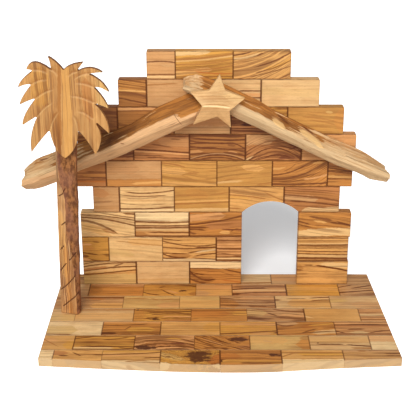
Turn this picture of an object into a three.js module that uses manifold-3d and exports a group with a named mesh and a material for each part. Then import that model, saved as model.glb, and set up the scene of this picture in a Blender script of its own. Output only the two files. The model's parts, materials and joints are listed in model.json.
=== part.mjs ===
// Nativity stable: a stepped wall of glued wood blocks on a bowed base of glued strips, with an arched
// doorway, two split-branch roof beams, a faceted star over the gable and a palm tree beside the wall.
// Millimetres. +Z is up, +X is to the viewer's right and the front faces -Y.
// The origin is the middle of the base's underside.
import * as THREE from "three";
import * as BufferGeometryUtils from "three/addons/utils/BufferGeometryUtils.js";
import Module from "manifold-3d";

const wasm = await Module();
wasm.setup();

// Glue lines, clearances and eased edges
const glueLine = 0.3;
const dowelClearance = 0.3;
const easedEdge = 0.4;
const cornerRadius = 2;

// Base: strips of blocks between a straight back edge and a bowed front edge.
// The wall's face stands over the seam between the back strip and the next.
const wallFrontY = 73;
const baseThickness = 9;
const baseLeftX = -179.2;
const baseBackRightX = 171.8;
const baseFrontRightX = 179.2;
const baseStripDepth = 29;
const backStripDepth = 25.6;
const baseStrips = 7;
const baseBackY = wallFrontY + backStripDepth;
const frontSeamY = wallFrontY - (baseStrips - 2) * baseStripDepth;
// The front edge was sawn by eye: how far its corners and the points between them, right to left,
// stand in front of the last seam
const frontCornerReach = 16;
const frontReach = [[118, 20.4], [80, 24.2], [45, 27.6], [0, 28.2], [-50, 26.4], [-108, 22.2]];

// Wall of blocks in nine courses
const wallThickness = 11;
const blockLength = 60;
const halfBlock = blockLength / 2;
const courseHeight = 30;
const bottomCourseHeight = 28.5;

// Doorway through the three lowest courses, with its arch cut into the fourth; its jambs in block lengths
const doorCourses = 3;
const doorLeft = 0.423 * blockLength;
const doorRight = 1.463 * blockLength;
const archRise = 13;

// Each course from the bottom, in block lengths: its left end, its first block and its right end.
// Full blocks fill the space between. The three lowest stop at the doorway and start again after it.
const courses = [
  { left: -2.55, first: 1, right: 2.425 },
  { left: -2.55, first: 0.5, right: 2.408 },
  { left: -2.55, first: 1, right: 2.433 },
  { left: -2.3, first: 0.483, right: 2.2 },
  { left: -2.575, first: 0.533, right: 2.408 },
  { left: -2.533, first: 1, right: 2.442 },
  { left: -2.3, first: 0.5, right: 2.2 },
  { left: -1.775, first: 0.5, right: 1.75 },
  { left: -1.267, first: 0.5, right: 1.237 },
].map((row) => ({
  left: row.left * blockLength,
  first: row.first * blockLength,
  right: row.right * blockLength,
}));

// Roof beams: split branches lying flat against the wall. Their long edges are given as X and height, from
// left to right: the top one at the wall, the ridge and the lower ridge at the front, and the underside.
// Each end is broken off: how far the six corners of the section stand back from the end there.
const leftBeam = {
  depth: 28,
  ends: [-212, 11],
  top: [[-212, 147], [-199.5, 159.1], [-192.8, 162.5], [-93.8, 199.5], [-64.8, 218.6], [-31, 234], [12, 250]],
  ridge: [[-212, 144], [-190, 149.8], [-124.8, 177.2], [-62.2, 211.1], [-45, 217.4], [-40, 213.8], [12, 236]],
  lowerRidge: [[-212, 138], [-199, 141.5], [-172, 152.3], [-114, 178], [-93, 186], [-72, 196.6], [12, 232]],
  underside: [[-212, 132.8], [-194.4, 132.6], [-173, 140.7], [-147.5, 153.9], [-104.7, 169.8], [12, 224.7]],
  leftBreak: [6, 0.5, 4.5, 2, 1.5, 5.5],
  rightBreak: [0, 0, 0, 0, 0, 0],
  phase: 0.4,
};
const rightBeam = {
  depth: 27,
  ends: [-39, 182],
  top: [[-39, 249], [-28, 253.8], [-20.4, 253.3], [6.3, 242.6], [45.6, 223], [53, 217.4], [90.8, 197.9],
    [155, 168.7], [182, 150]],
  ridge: [[-39, 247.6], [-20, 243.4], [17.6, 229.7], [41.4, 217.7], [69.7, 200.8], [92.6, 187.8],
    [126, 172.9], [182, 151.4]],
  lowerRidge: [[-39, 245], [-20, 238.5], [17.6, 221], [70, 194.5], [120, 169.5], [182, 146]],
  underside: [[-39, 242], [20.4, 209.9], [123, 159.7], [147, 150.8], [160, 143.5], [182, 140]],
  leftBreak: [1, 1, 2.5, 1, 0, 1.5],
  rightBreak: [5, 2.8, 5, 0.5, 1.8, 3.4],
  phase: 2.1,
};
const beamStations = 30;
const hewnDepth = 0.6;
const brokenEndDepth = 2.6;

// Star: five tips and five notches going clockwise, as angle in degrees, radius and thickness, cut by hand.
// The two side notches are nearly as thick as the middle, so that a level ridge runs from one to the other.
const starCentreX = -3.5;
const starCentreZ = 228;
const starTips = [[84, 32.9, 5], [15, 30.4, 5], [-57, 27.9, 5], [-140, 31.4, 5], [-208.3, 30.3, 5]];
const starNotches = [[62, 19, 6.5], [-16, 14.1, 10.2], [-85, 11, 6.5], [-184, 14.5, 10.2], [-245.7, 18, 6.5]];
const starCentreThickness = 11;
// The beams are planed flat under the star, this deep into the thinner one
const starSeatCut = 1;
const starSeatDepth = Math.min(leftBeam.depth, rightBeam.depth) - starSeatCut;

// Palm tree: a split branch for the trunk and a sawn board for the crown
const trunkWidth = 21.5;
const trunkDepth = 18;
const trunkBeforeSeam = 15;
const trunkFrontY = wallFrontY - 2 * baseStripDepth - trunkBeforeSeam;
const trunkFootX = -159.3;
const trunkTopX = -153;
const trunkTopZ = 246;
const trunkRings = 15;
// Where the split face meets the bark, as height above the base and distance from the middle
const barkEdge = [[0, 8], [50, 5.7], [81, 1.7], [100, -1.7], [132, -1.7], [143, -3.8], [149, -7],
  [176, -8], [240, -8]];
const crownThickness = 6;
const crownCentreX = -152.5;
const crownCentreZ = 239;
const crownSeatDepth = 1.5;
const crownSeatBottomZ = 187;
// The crown's outline, clockwise from the notch at the top. Each frond has the bend of its first edge,
// its tip, the bend of its second edge and the valley where the next frond starts.
const crownNotch = [1.9, 37.9];
const fronds = [
  { out: [7.3, 44.5], tip: [21.4, 45.5], back: [19, 42.7], valley: [13.9, 35.9] },
  { out: [27.4, 45], tip: [39.7, 35.6], back: [33.8, 35.7], valley: [25.8, 34.3] },
  { out: [39.7, 28.5], tip: [45.1, 15.9], back: [36.4, 22.5], valley: [30.2, 21.1] },
  { out: [40.5, 10.4], tip: [44, -0.3], back: [35.4, 3.6], valley: [28, 6.3] },
  { out: [43.5, -4.9], tip: [43.4, -25.8], back: [34.9, -17.3], valley: [26.5, -9.6] },
  { out: [42.6, -27.4], tip: [29.1, -47.7], back: [21.8, -31.4], valley: [12.9, -22.3] },
  { out: [13.3, -41.1], tip: [-0.8, -51.2], back: [-12, -46.2], valley: [-14.9, -22.3] },
  { out: [-22, -29.3], tip: [-34.3, -45.4], back: [-36, -25.4], valley: [-25.6, -7.5] },
  { out: [-32.2, -11.4], tip: [-41.3, -17.3], back: [-40.8, -6.1], valley: [-25.9, 10.3] },
  { out: [-33.5, 8.2], tip: [-42.3, 3.6], back: [-42.5, 9], valley: [-29.5, 24] },
  { out: [-36.1, 24.6], tip: [-42.7, 20.8], back: [-42.1, 27.7], valley: [-26.7, 37.8] },
  { out: [-30.2, 38.3], tip: [-33.7, 38.9], back: [-28.1, 53.3], valley: [-9.8, 38.1] },
  { out: [-10.3, 48.2], tip: [-12.4, 51.4], back: [-2.8, 46], valley: crownNotch },
];

// Hidden dowels
const dowelRadius = 2.5;
const dowelSides = 16;
const wallDowelX = [-123, 116];
const wallDowelInBase = 6;
const wallDowelInWall = 14;
const leftBeamDowelX = -128;
const rightBeamDowelX = 124;
const beamDowelInWall = 7;
const beamDowelInBeam = 12;
const starDowelInStar = 5;
const starDowelInBeam = 12;
const starDowelDrop = 2;
const palmDowelInBase = 6;
const palmDowelInTrunk = 16;

const wood = {
  pale: material(0xdcb47a, 0.55),
  honey: material(0xcf9c5c, 0.55),
  amber: material(0xc08544, 0.55),
  brown: material(0xa36b38, 0.58),
  base: material(0xc9985a, 0.5),
  branch: material(0xc79a66, 0.7),
  star: material(0xd9b37c, 0.6),
  crown: material(0xcf9e5e, 0.6),
  trunk: material(0xa9683f, 0.75),
  dowel: material(0xd8b98a, 0.65),
};
const blockTones = [wood.honey, wood.pale, wood.amber, wood.pale, wood.brown, wood.honey, wood.amber];

const baseTopZ = baseThickness;
const wallBackY = wallFrontY + wallThickness;
const beamBackY = wallFrontY - glueLine;
const trunkCentreY = trunkFrontY + trunkDepth / 2;
const crownBackY = trunkFrontY + crownSeatDepth - glueLine;

function material(color, roughness) {
  return new THREE.MeshStandardMaterial({ color, roughness, metalness: 0 });
}

// Solids from geometries and back

function solidOf(geometry) {
  const plain = geometry.clone();
  plain.deleteAttribute("normal");
  plain.deleteAttribute("uv");
  const merged = BufferGeometryUtils.mergeVertices(plain, 1e-4);
  const mesh = new wasm.Mesh({
    numProp: 3,
    vertProperties: new Float32Array(merged.attributes.position.array),
    triVerts: new Uint32Array(merged.index.array),
  });
  return new wasm.Manifold(mesh);
}

function geometryOf(solid) {
  const mesh = solid.getMesh();
  const geometry = new THREE.BufferGeometry();
  geometry.setAttribute("position", new THREE.BufferAttribute(mesh.vertProperties, 3));
  geometry.setIndex(new THREE.BufferAttribute(mesh.triVerts, 1));
  const faceted = geometry.toNonIndexed();
  faceted.computeVertexNormals();
  return faceted;
}

// A closed body through rings of points, all with the same count, with a fan over each end
function loft(rings, startCentre, endCentre) {
  const perRing = rings[0].length;
  const points = rings.flat().concat([startCentre, endCentre]);
  const startIndex = points.length - 2;
  const endIndex = points.length - 1;
  const lastRing = (rings.length - 1) * perRing;
  const indices = [];
  for (let ring = 0; ring < rings.length - 1; ring++) {
    for (let side = 0; side < perRing; side++) {
      const a = ring * perRing + side;
      const b = ring * perRing + (side + 1) % perRing;
      indices.push(a, b, b + perRing, a, b + perRing, a + perRing);
    }
  }
  for (let side = 0; side < perRing; side++) {
    const next = (side + 1) % perRing;
    indices.push(startIndex, next, side);
    indices.push(endIndex, lastRing + side, lastRing + next);
  }
  const geometry = new THREE.BufferGeometry();
  geometry.setAttribute("position", new THREE.Float32BufferAttribute(points.flat(), 3));
  geometry.setIndex(indices);
  return geometry;
}

// An outline in X and Z, extruded from the front plane back to the back plane
function extrudeBack(shape, frontY, backY, ease = 0, curveSegments = 6) {
  const geometry = new THREE.ExtrudeGeometry(shape, {
    depth: backY - frontY - 2 * ease,
    bevelEnabled: ease > 0,
    bevelThickness: ease,
    bevelSize: ease,
    bevelOffset: -ease,
    bevelSegments: 1,
    curveSegments,
  });
  geometry.rotateX(Math.PI / 2);
  geometry.translate(0, backY - ease, 0);
  return geometry;
}

function dowelAlongZ(x, y, bottomZ, topZ, radius) {
  const geometry = new THREE.CylinderGeometry(radius, radius, topZ - bottomZ, dowelSides);
  geometry.rotateX(Math.PI / 2);
  geometry.translate(x, y, (bottomZ + topZ) / 2);
  return geometry;
}

function dowelAlongY(x, z, frontY, backY, radius) {
  const geometry = new THREE.CylinderGeometry(radius, radius, backY - frontY, dowelSides);
  geometry.translate(x, (frontY + backY) / 2, z);
  return geometry;
}

function lineHeight(line, x) {
  let span = 0;
  while (span < line.length - 2 && x > line[span + 1][0]) span++;
  const [x0, z0] = line[span];
  const [x1, z1] = line[span + 1];
  return z0 + (z1 - z0) * (x - x0) / (x1 - x0);
}

// Uneven split surface: a repeatable wobble between -1 and 1
function wobble(along, around) {
  return 0.6 * Math.sin(1.7 * along + 2.3 * around) + 0.4 * Math.sin(3.1 * along - 1.3 * around);
}

const stable = new THREE.Group();

function addPiece(name, geometry, pieceMaterial) {
  const mesh = new THREE.Mesh(geometry, pieceMaterial);
  mesh.name = name;
  stable.add(mesh);
}

// Base

function frontEdgePoints() {
  const reaches = [[baseFrontRightX, frontCornerReach], ...frontReach, [baseLeftX, frontCornerReach]];
  const points = reaches.map(([x, reach]) => new THREE.Vector2(x, frontSeamY - reach));
  return new THREE.SplineCurve(points).getPoints(28);
}

function baseRightX(y) {
  const share = (baseBackY - y) / (baseBackY - frontSeamY + frontCornerReach);
  return baseBackRightX + (baseFrontRightX - baseBackRightX) * share;
}

function stripSolid(backY, frontY, isFront) {
  const outline = [
    new THREE.Vector2(baseLeftX, backY),
    ...(isFront ? frontEdgePoints().reverse() : [
      new THREE.Vector2(baseLeftX, frontY),
      new THREE.Vector2(baseRightX(frontY), frontY),
    ]),
    new THREE.Vector2(baseRightX(backY), backY),
  ];
  const geometry = new THREE.ExtrudeGeometry(new THREE.Shape(outline), {
    depth: baseThickness,
    bevelEnabled: false,
  });
  return solidOf(geometry);
}

function addBase() {
  const halfGlue = glueLine / 2;
  for (let strip = 0; strip < baseStrips; strip++) {
    const isBack = strip === 0;
    const isFront = strip === baseStrips - 1;
    const backY = isBack ? baseBackY : wallFrontY - (strip - 1) * baseStripDepth - halfGlue;
    const frontY = wallFrontY - strip * baseStripDepth + halfGlue;
    let solid = stripSolid(backY, frontY, isFront);
    for (const bore of baseBores()) solid = solid.subtract(bore);
    addPiece(`base_strip_${strip + 1}`, geometryOf(solid), wood.base);
  }
}

function baseBores() {
  const radius = dowelRadius + dowelClearance;
  const through = baseTopZ + dowelClearance;
  const wallBores = wallDowelX.map((x) => dowelAlongZ(
    x, wallMiddleY(), baseTopZ - wallDowelInBase - dowelClearance, through, radius));
  const palmBore = dowelAlongZ(
    trunkFootX, trunkCentreY, baseTopZ - palmDowelInBase - dowelClearance, through, radius);
  return [...wallBores, palmBore].map(solidOf);
}

// Wall

function wallMiddleY() {
  return wallFrontY + wallThickness / 2;
}

function courseBottom(course) {
  return baseTopZ + (course === 0 ? 0 : bottomCourseHeight + (course - 1) * courseHeight);
}

function courseTop(course) {
  return courseBottom(course + 1);
}

// The joints of a run of blocks from one end to the other
function jointsOf(left, first, right) {
  const joints = [left];
  let next = left + first;
  while (next < right - halfBlock / 2) {
    joints.push(next);
    next += blockLength;
  }
  joints.push(right);
  return joints;
}

function courseBlocks(course) {
  const { left, first, right } = courses[course];
  const runs = course < doorCourses
    ? [jointsOf(left, first, doorLeft), jointsOf(doorRight, blockLength, right)]
    : [jointsOf(left, first, right)];
  return runs.flatMap((joints) => joints.slice(1).map((end, index) => [joints[index], end]));
}

// A block's face; its upper corners are rounded where no block stands over them
function blockShape(x0, x1, z0, z1, openLeft, openRight) {
  const shape = new THREE.Shape();
  shape.moveTo(x0, z0);
  shape.lineTo(x1, z0);
  if (openRight) {
    shape.lineTo(x1, z1 - cornerRadius);
    shape.quadraticCurveTo(x1, z1, x1 - cornerRadius, z1);
  } else {
    shape.lineTo(x1, z1);
  }
  if (openLeft) {
    shape.lineTo(x0 + cornerRadius, z1);
    shape.quadraticCurveTo(x0, z1, x0, z1 - cornerRadius);
  } else {
    shape.lineTo(x0, z1);
  }
  return shape;
}

function doorwayShape() {
  const middle = (doorLeft + doorRight) / 2;
  const halfSpan = (doorRight - doorLeft) / 2;
  const radius = (halfSpan ** 2 + archRise ** 2) / (2 * archRise);
  const springZ = courseTop(doorCourses - 1);
  const halfAngle = Math.asin(halfSpan / radius);
  const shape = new THREE.Shape();
  shape.moveTo(doorLeft, baseTopZ);
  shape.lineTo(doorRight, baseTopZ);
  shape.absarc(middle, springZ + archRise - radius, radius, Math.PI / 2 - halfAngle,
    Math.PI / 2 + halfAngle, false);
  return shape;
}

function wallBores() {
  const radius = dowelRadius + dowelClearance;
  const standing = wallDowelX.map((x) => dowelAlongZ(
    x, wallMiddleY(), baseTopZ - dowelClearance, baseTopZ + wallDowelInWall + dowelClearance, radius));
  const lying = beamDowels().map(({ x, z }) => dowelAlongY(
    x, z, wallFrontY - dowelClearance, wallFrontY + beamDowelInWall + dowelClearance, radius));
  return [...standing, ...lying].map(solidOf);
}

function beamDowels() {
  return [
    { name: "left_beam_dowel", x: leftBeamDowelX, z: beamMiddle(leftBeam, leftBeamDowelX) },
    { name: "right_beam_dowel", x: rightBeamDowelX, z: beamMiddle(rightBeam, rightBeamDowelX) },
  ];
}

function addWall() {
  const half = glueLine / 2;
  const doorway = solidOf(extrudeBack(doorwayShape(), wallFrontY - 1, wallBackY + 1, 0, 10));
  const bores = wallBores();
  let tone = 0;
  courses.forEach((row, course) => {
    const above = courses[course + 1];
    courseBlocks(course).forEach(([x0, x1], index) => {
      const openLeft = x0 === row.left && (!above || above.left > x0 + 2 * cornerRadius);
      const openRight = x1 === row.right && (!above || above.right < x1 - 2 * cornerRadius);
      const shape = blockShape(x0 + half, x1 - half, courseBottom(course) + half,
        courseTop(course) - half, openLeft, openRight);
      let solid = solidOf(extrudeBack(shape, wallFrontY, wallBackY, easedEdge, 3));
      if (course === doorCourses) solid = solid.subtract(doorway);
      for (const bore of bores) solid = solid.subtract(bore);
      const name = `course_${course + 1}_block_${index + 1}`;
      addPiece(name, geometryOf(solid), blockTones[tone % blockTones.length]);
      tone += 1;
    });
  });
}

// Roof beams

// A split branch's section: flat against the wall, a rough sloping top, a narrow ridge and a cut underside.
// Each corner is at a share of the beam's depth and at the mean height of one or two of its long edges.
function beamSection({ top, ridge, lowerRidge, underside }) {
  return [
    { reach: 0, edges: [underside], rough: 0 },
    { reach: 0, edges: [top], rough: 0 },
    { reach: 0.5, edges: [top, ridge], rough: 1 },
    { reach: 0.97, edges: [ridge], rough: 0.8 },
    { reach: 1, edges: [lowerRidge], rough: 0.5 },
    { reach: 0.78, edges: [underside], rough: 0 },
  ];
}

function meanHeight(lines, x) {
  return lines.reduce((sum, line) => sum + lineHeight(line, x), 0) / lines.length;
}

function beamMiddle(beam, x) {
  return meanHeight([beam.top, beam.underside], x);
}

function beamSolid(beam) {
  const section = beamSection(beam);
  const [startX, endX] = beam.ends;
  const rings = [];
  for (let station = 0; station <= beamStations; station++) {
    const stationX = THREE.MathUtils.lerp(startX, endX, station / beamStations);
    rings.push(section.map(({ reach, edges, rough }, corner) => {
      let x = stationX;
      if (station === 0) x += beam.leftBreak[corner];
      if (station === beamStations) x -= beam.rightBreak[corner];
      const hewn = hewnDepth * rough * wobble(station + beam.phase, corner);
      return [x, beamBackY - beam.depth * reach - hewn, meanHeight(edges, x) + hewn];
    }));
  }
  const middleY = beamBackY - beam.depth / 2;
  const startCentre = [startX + brokenEndDepth, middleY, beamMiddle(beam, startX)];
  const endCentre = [endX - brokenEndDepth, middleY, beamMiddle(beam, endX)];
  return solidOf(loft(rings, startCentre, endCentre));
}

// Everything over the right beam's underside, which the left beam is mitred to
function overRightUnderside() {
  const [startX] = rightBeam.ends;
  const [, leftEndX] = leftBeam.ends;
  const clearX = startX - glueLine;
  const reachX = leftEndX + 2 * brokenEndDepth;
  const ceiling = lineHeight(rightBeam.top, startX) + rightBeam.depth;
  const underside = (x) => lineHeight(rightBeam.underside, x) - glueLine;
  const bends = rightBeam.underside.map(([x]) => x).filter((x) => x > clearX && x < reachX);
  const shape = new THREE.Shape();
  shape.moveTo(clearX, ceiling);
  for (const x of [clearX, ...bends, reachX]) shape.lineTo(x, underside(x));
  shape.lineTo(reachX, ceiling);
  return solidOf(extrudeBack(shape, beamBackY - 2 * leftBeam.depth, wallFrontY));
}

function starSeat() {
  const grown = starOutline().map(([x, z]) => {
    const reach = Math.hypot(x - starCentreX, z - starCentreZ);
    const growth = 1 + 4 * glueLine / reach;
    return new THREE.Vector2(
      starCentreX + (x - starCentreX) * growth, starCentreZ + (z - starCentreZ) * growth);
  });
  const frontY = beamBackY - 2 * leftBeam.depth;
  return solidOf(extrudeBack(new THREE.Shape(grown), frontY, beamBackY - starSeatDepth));
}

function beamBores() {
  const radius = dowelRadius + dowelClearance;
  const fromWall = beamDowels().map(({ x, z }) => dowelAlongY(
    x, z, beamBackY - beamDowelInBeam - dowelClearance, wallFrontY, radius));
  const starSeatY = beamBackY - starSeatDepth;
  const fromStar = dowelAlongY(starCentreX, starDowelZ(), starSeatY - dowelClearance,
    starSeatY + starDowelInBeam + dowelClearance, radius);
  return [...fromWall, fromStar].map(solidOf);
}

function addBeams() {
  const bores = beamBores();
  const seat = starSeat();
  let left = beamSolid(leftBeam).subtract(overRightUnderside());
  let right = beamSolid(rightBeam);
  left = left.subtract(seat);
  right = right.subtract(seat);
  for (const bore of bores) {
    left = left.subtract(bore);
    right = right.subtract(bore);
  }
  addPiece("left_roof_beam", geometryOf(left), wood.branch);
  addPiece("right_roof_beam", geometryOf(right), wood.branch);
}

// Star

function starCorner([angle, radius, thickness]) {
  const turn = THREE.MathUtils.degToRad(angle);
  return [starCentreX + radius * Math.cos(turn), starCentreZ + radius * Math.sin(turn), thickness];
}

function starOutline() {
  return starTips.flatMap((tip, index) => [starCorner(tip), starCorner(starNotches[index])]);
}

function starBackY() {
  return beamBackY - starSeatDepth - glueLine;
}

function starDowelZ() {
  return starCentreZ + starDowelDrop;
}

function addStar() {
  const backY = starBackY();
  const outline = starOutline();
  const back = outline.map(([x, z]) => [x, backY, z]);
  const front = outline.map(([x, z, thickness]) => [x, backY - thickness, z]);
  const backCentre = [starCentreX, backY, starCentreZ];
  const frontCentre = [starCentreX, backY - starCentreThickness, starCentreZ];
  let solid = solidOf(loft([front, back], frontCentre, backCentre));
  const bore = dowelAlongY(starCentreX, starDowelZ(), backY - starDowelInStar - dowelClearance,
    backY + dowelClearance, dowelRadius + dowelClearance);
  solid = solid.subtract(solidOf(bore));
  addPiece("gable_star", geometryOf(solid), wood.star);
}

// Palm tree

function trunkCentreX(z) {
  return THREE.MathUtils.lerp(trunkFootX, trunkTopX, (z - baseTopZ) / (trunkTopZ - baseTopZ));
}

function trunkSolid() {
  const bottomZ = baseTopZ + glueLine;
  const rings = [];
  for (let ring = 0; ring <= trunkRings; ring++) {
    const z = THREE.MathUtils.lerp(bottomZ, trunkTopZ, ring / trunkRings);
    const ridge = lineHeight(barkEdge, z - baseTopZ);
    const knobble = 0.5 * wobble(ring, 3);
    const section = [
      [-trunkWidth / 2 + 0.8, 0.94], [-trunkWidth / 2, 0.3], [ridge, 0],
      [trunkWidth / 2 + knobble, 0.22], [trunkWidth / 2 + knobble, 0.8], [1, 1],
    ];
    rings.push(section.map(([across, share]) => [
      trunkCentreX(z) + across, trunkFrontY + trunkDepth * share, z,
    ]));
  }
  return solidOf(loft(rings, [trunkCentreX(bottomZ), trunkCentreY, bottomZ],
    [trunkCentreX(trunkTopZ), trunkCentreY, trunkTopZ]));
}

function crownSeat() {
  const halfWidth = trunkWidth;
  const x = trunkCentreX(crownSeatBottomZ);
  const shape = new THREE.Shape();
  shape.moveTo(x - halfWidth, crownSeatBottomZ);
  shape.lineTo(x + halfWidth, crownSeatBottomZ);
  shape.lineTo(x + halfWidth, trunkTopZ + 1);
  shape.lineTo(x - halfWidth, trunkTopZ + 1);
  return solidOf(extrudeBack(shape, trunkFrontY - 1, trunkFrontY + crownSeatDepth));
}

function addTrunk() {
  const bore = dowelAlongZ(trunkFootX, trunkCentreY, baseTopZ,
    baseTopZ + glueLine + palmDowelInTrunk + dowelClearance, dowelRadius + dowelClearance);
  const solid = trunkSolid().subtract(crownSeat()).subtract(solidOf(bore));
  addPiece("palm_trunk", geometryOf(solid), wood.trunk);
}

function addCrown() {
  const shape = new THREE.Shape();
  shape.moveTo(...crownNotch);
  for (const { out, tip, back, valley } of fronds) {
    shape.quadraticCurveTo(...out, ...tip);
    shape.quadraticCurveTo(...back, ...valley);
  }
  const geometry = extrudeBack(shape, crownBackY - crownThickness, crownBackY, 0, 6);
  geometry.translate(crownCentreX, 0, crownCentreZ);
  addPiece("palm_crown", geometry, wood.crown);
}

// Dowels

function addDowels() {
  const wallSides = ["left", "right"];
  wallDowelX.forEach((x, index) => {
    const geometry = dowelAlongZ(x, wallMiddleY(), baseTopZ - wallDowelInBase,
      baseTopZ + wallDowelInWall, dowelRadius);
    addPiece(`${wallSides[index]}_wall_dowel`, geometry, wood.dowel);
  });
  for (const { name, x, z } of beamDowels()) {
    const geometry = dowelAlongY(x, z, beamBackY - beamDowelInBeam, wallFrontY + beamDowelInWall,
      dowelRadius);
    addPiece(name, geometry, wood.dowel);
  }
  const starDowel = dowelAlongY(starCentreX, starDowelZ(), starBackY() - starDowelInStar,
    beamBackY - starSeatDepth + starDowelInBeam, dowelRadius);
  addPiece("star_dowel", starDowel, wood.dowel);
  const palmDowel = dowelAlongZ(trunkFootX, trunkCentreY, baseTopZ - palmDowelInBase,
    baseTopZ + glueLine + palmDowelInTrunk, dowelRadius);
  addPiece("palm_dowel", palmDowel, wood.dowel);
}

addBase();
addWall();
addBeams();
addStar();
addTrunk();
addCrown();
addDowels();

export default stable;
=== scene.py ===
"""Looks of the nativity stable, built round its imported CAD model.

Metres in the part's own frame: +Z up, +X to the viewer's right, the front faces -Y.
Looks are given in millimetres and scaled where they are used.
"""

import json
import math
import random
from dataclasses import dataclass

import bmesh
import bpy
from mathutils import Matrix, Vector, noise


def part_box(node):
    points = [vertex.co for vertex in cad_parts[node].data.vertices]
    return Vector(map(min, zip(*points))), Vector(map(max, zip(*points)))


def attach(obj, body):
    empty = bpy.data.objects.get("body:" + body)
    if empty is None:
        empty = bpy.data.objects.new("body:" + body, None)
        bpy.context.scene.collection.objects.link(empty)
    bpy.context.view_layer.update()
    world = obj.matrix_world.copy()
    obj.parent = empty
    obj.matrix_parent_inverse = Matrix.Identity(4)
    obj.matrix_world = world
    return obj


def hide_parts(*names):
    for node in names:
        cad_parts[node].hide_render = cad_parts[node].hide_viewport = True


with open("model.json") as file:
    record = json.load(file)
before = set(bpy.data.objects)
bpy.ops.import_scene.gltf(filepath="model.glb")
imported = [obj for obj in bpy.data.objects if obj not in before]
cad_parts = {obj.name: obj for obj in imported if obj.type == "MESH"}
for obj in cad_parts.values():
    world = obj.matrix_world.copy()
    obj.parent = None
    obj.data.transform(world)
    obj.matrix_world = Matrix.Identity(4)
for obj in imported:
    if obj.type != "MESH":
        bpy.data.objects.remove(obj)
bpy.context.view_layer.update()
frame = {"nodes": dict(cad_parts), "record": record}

MM = 0.001
DISPLAY_GAMMA = 2.2
SHEEN = 0.3

# Wood tones, named by how they look, in display values from 0 to 1
TONES = {
    "cream": (0.94, 0.80, 0.58),
    "pale": (0.90, 0.73, 0.49),
    "beige": (0.855, 0.685, 0.465),
    "straw": (0.84, 0.675, 0.41),
    "honey": (0.865, 0.64, 0.365),
    "gold": (0.82, 0.585, 0.265),
    "ochre": (0.765, 0.55, 0.275),
    "tan": (0.785, 0.59, 0.385),
    "amber": (0.785, 0.53, 0.255),
    "orange": (0.775, 0.515, 0.25),
    "brown": (0.64, 0.415, 0.205),
    "rose": (0.845, 0.605, 0.375),
    "rust": (0.71, 0.415, 0.19),
    "umber": (0.72, 0.475, 0.27),
    "bone": (0.875, 0.73, 0.54),
    "peach": (0.84, 0.655, 0.465),
    "dark": (0.48, 0.285, 0.14),
    "line": (0.40, 0.21, 0.08),
    "plum": (0.43, 0.22, 0.14),
    "knot": (0.29, 0.14, 0.085),
}


def tone(name, shade=1.0):
    """A named tone as a linear colour."""
    return tuple(shade * channel ** DISPLAY_GAMMA for channel in TONES[name]) + (1.0,)


# Materials


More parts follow.
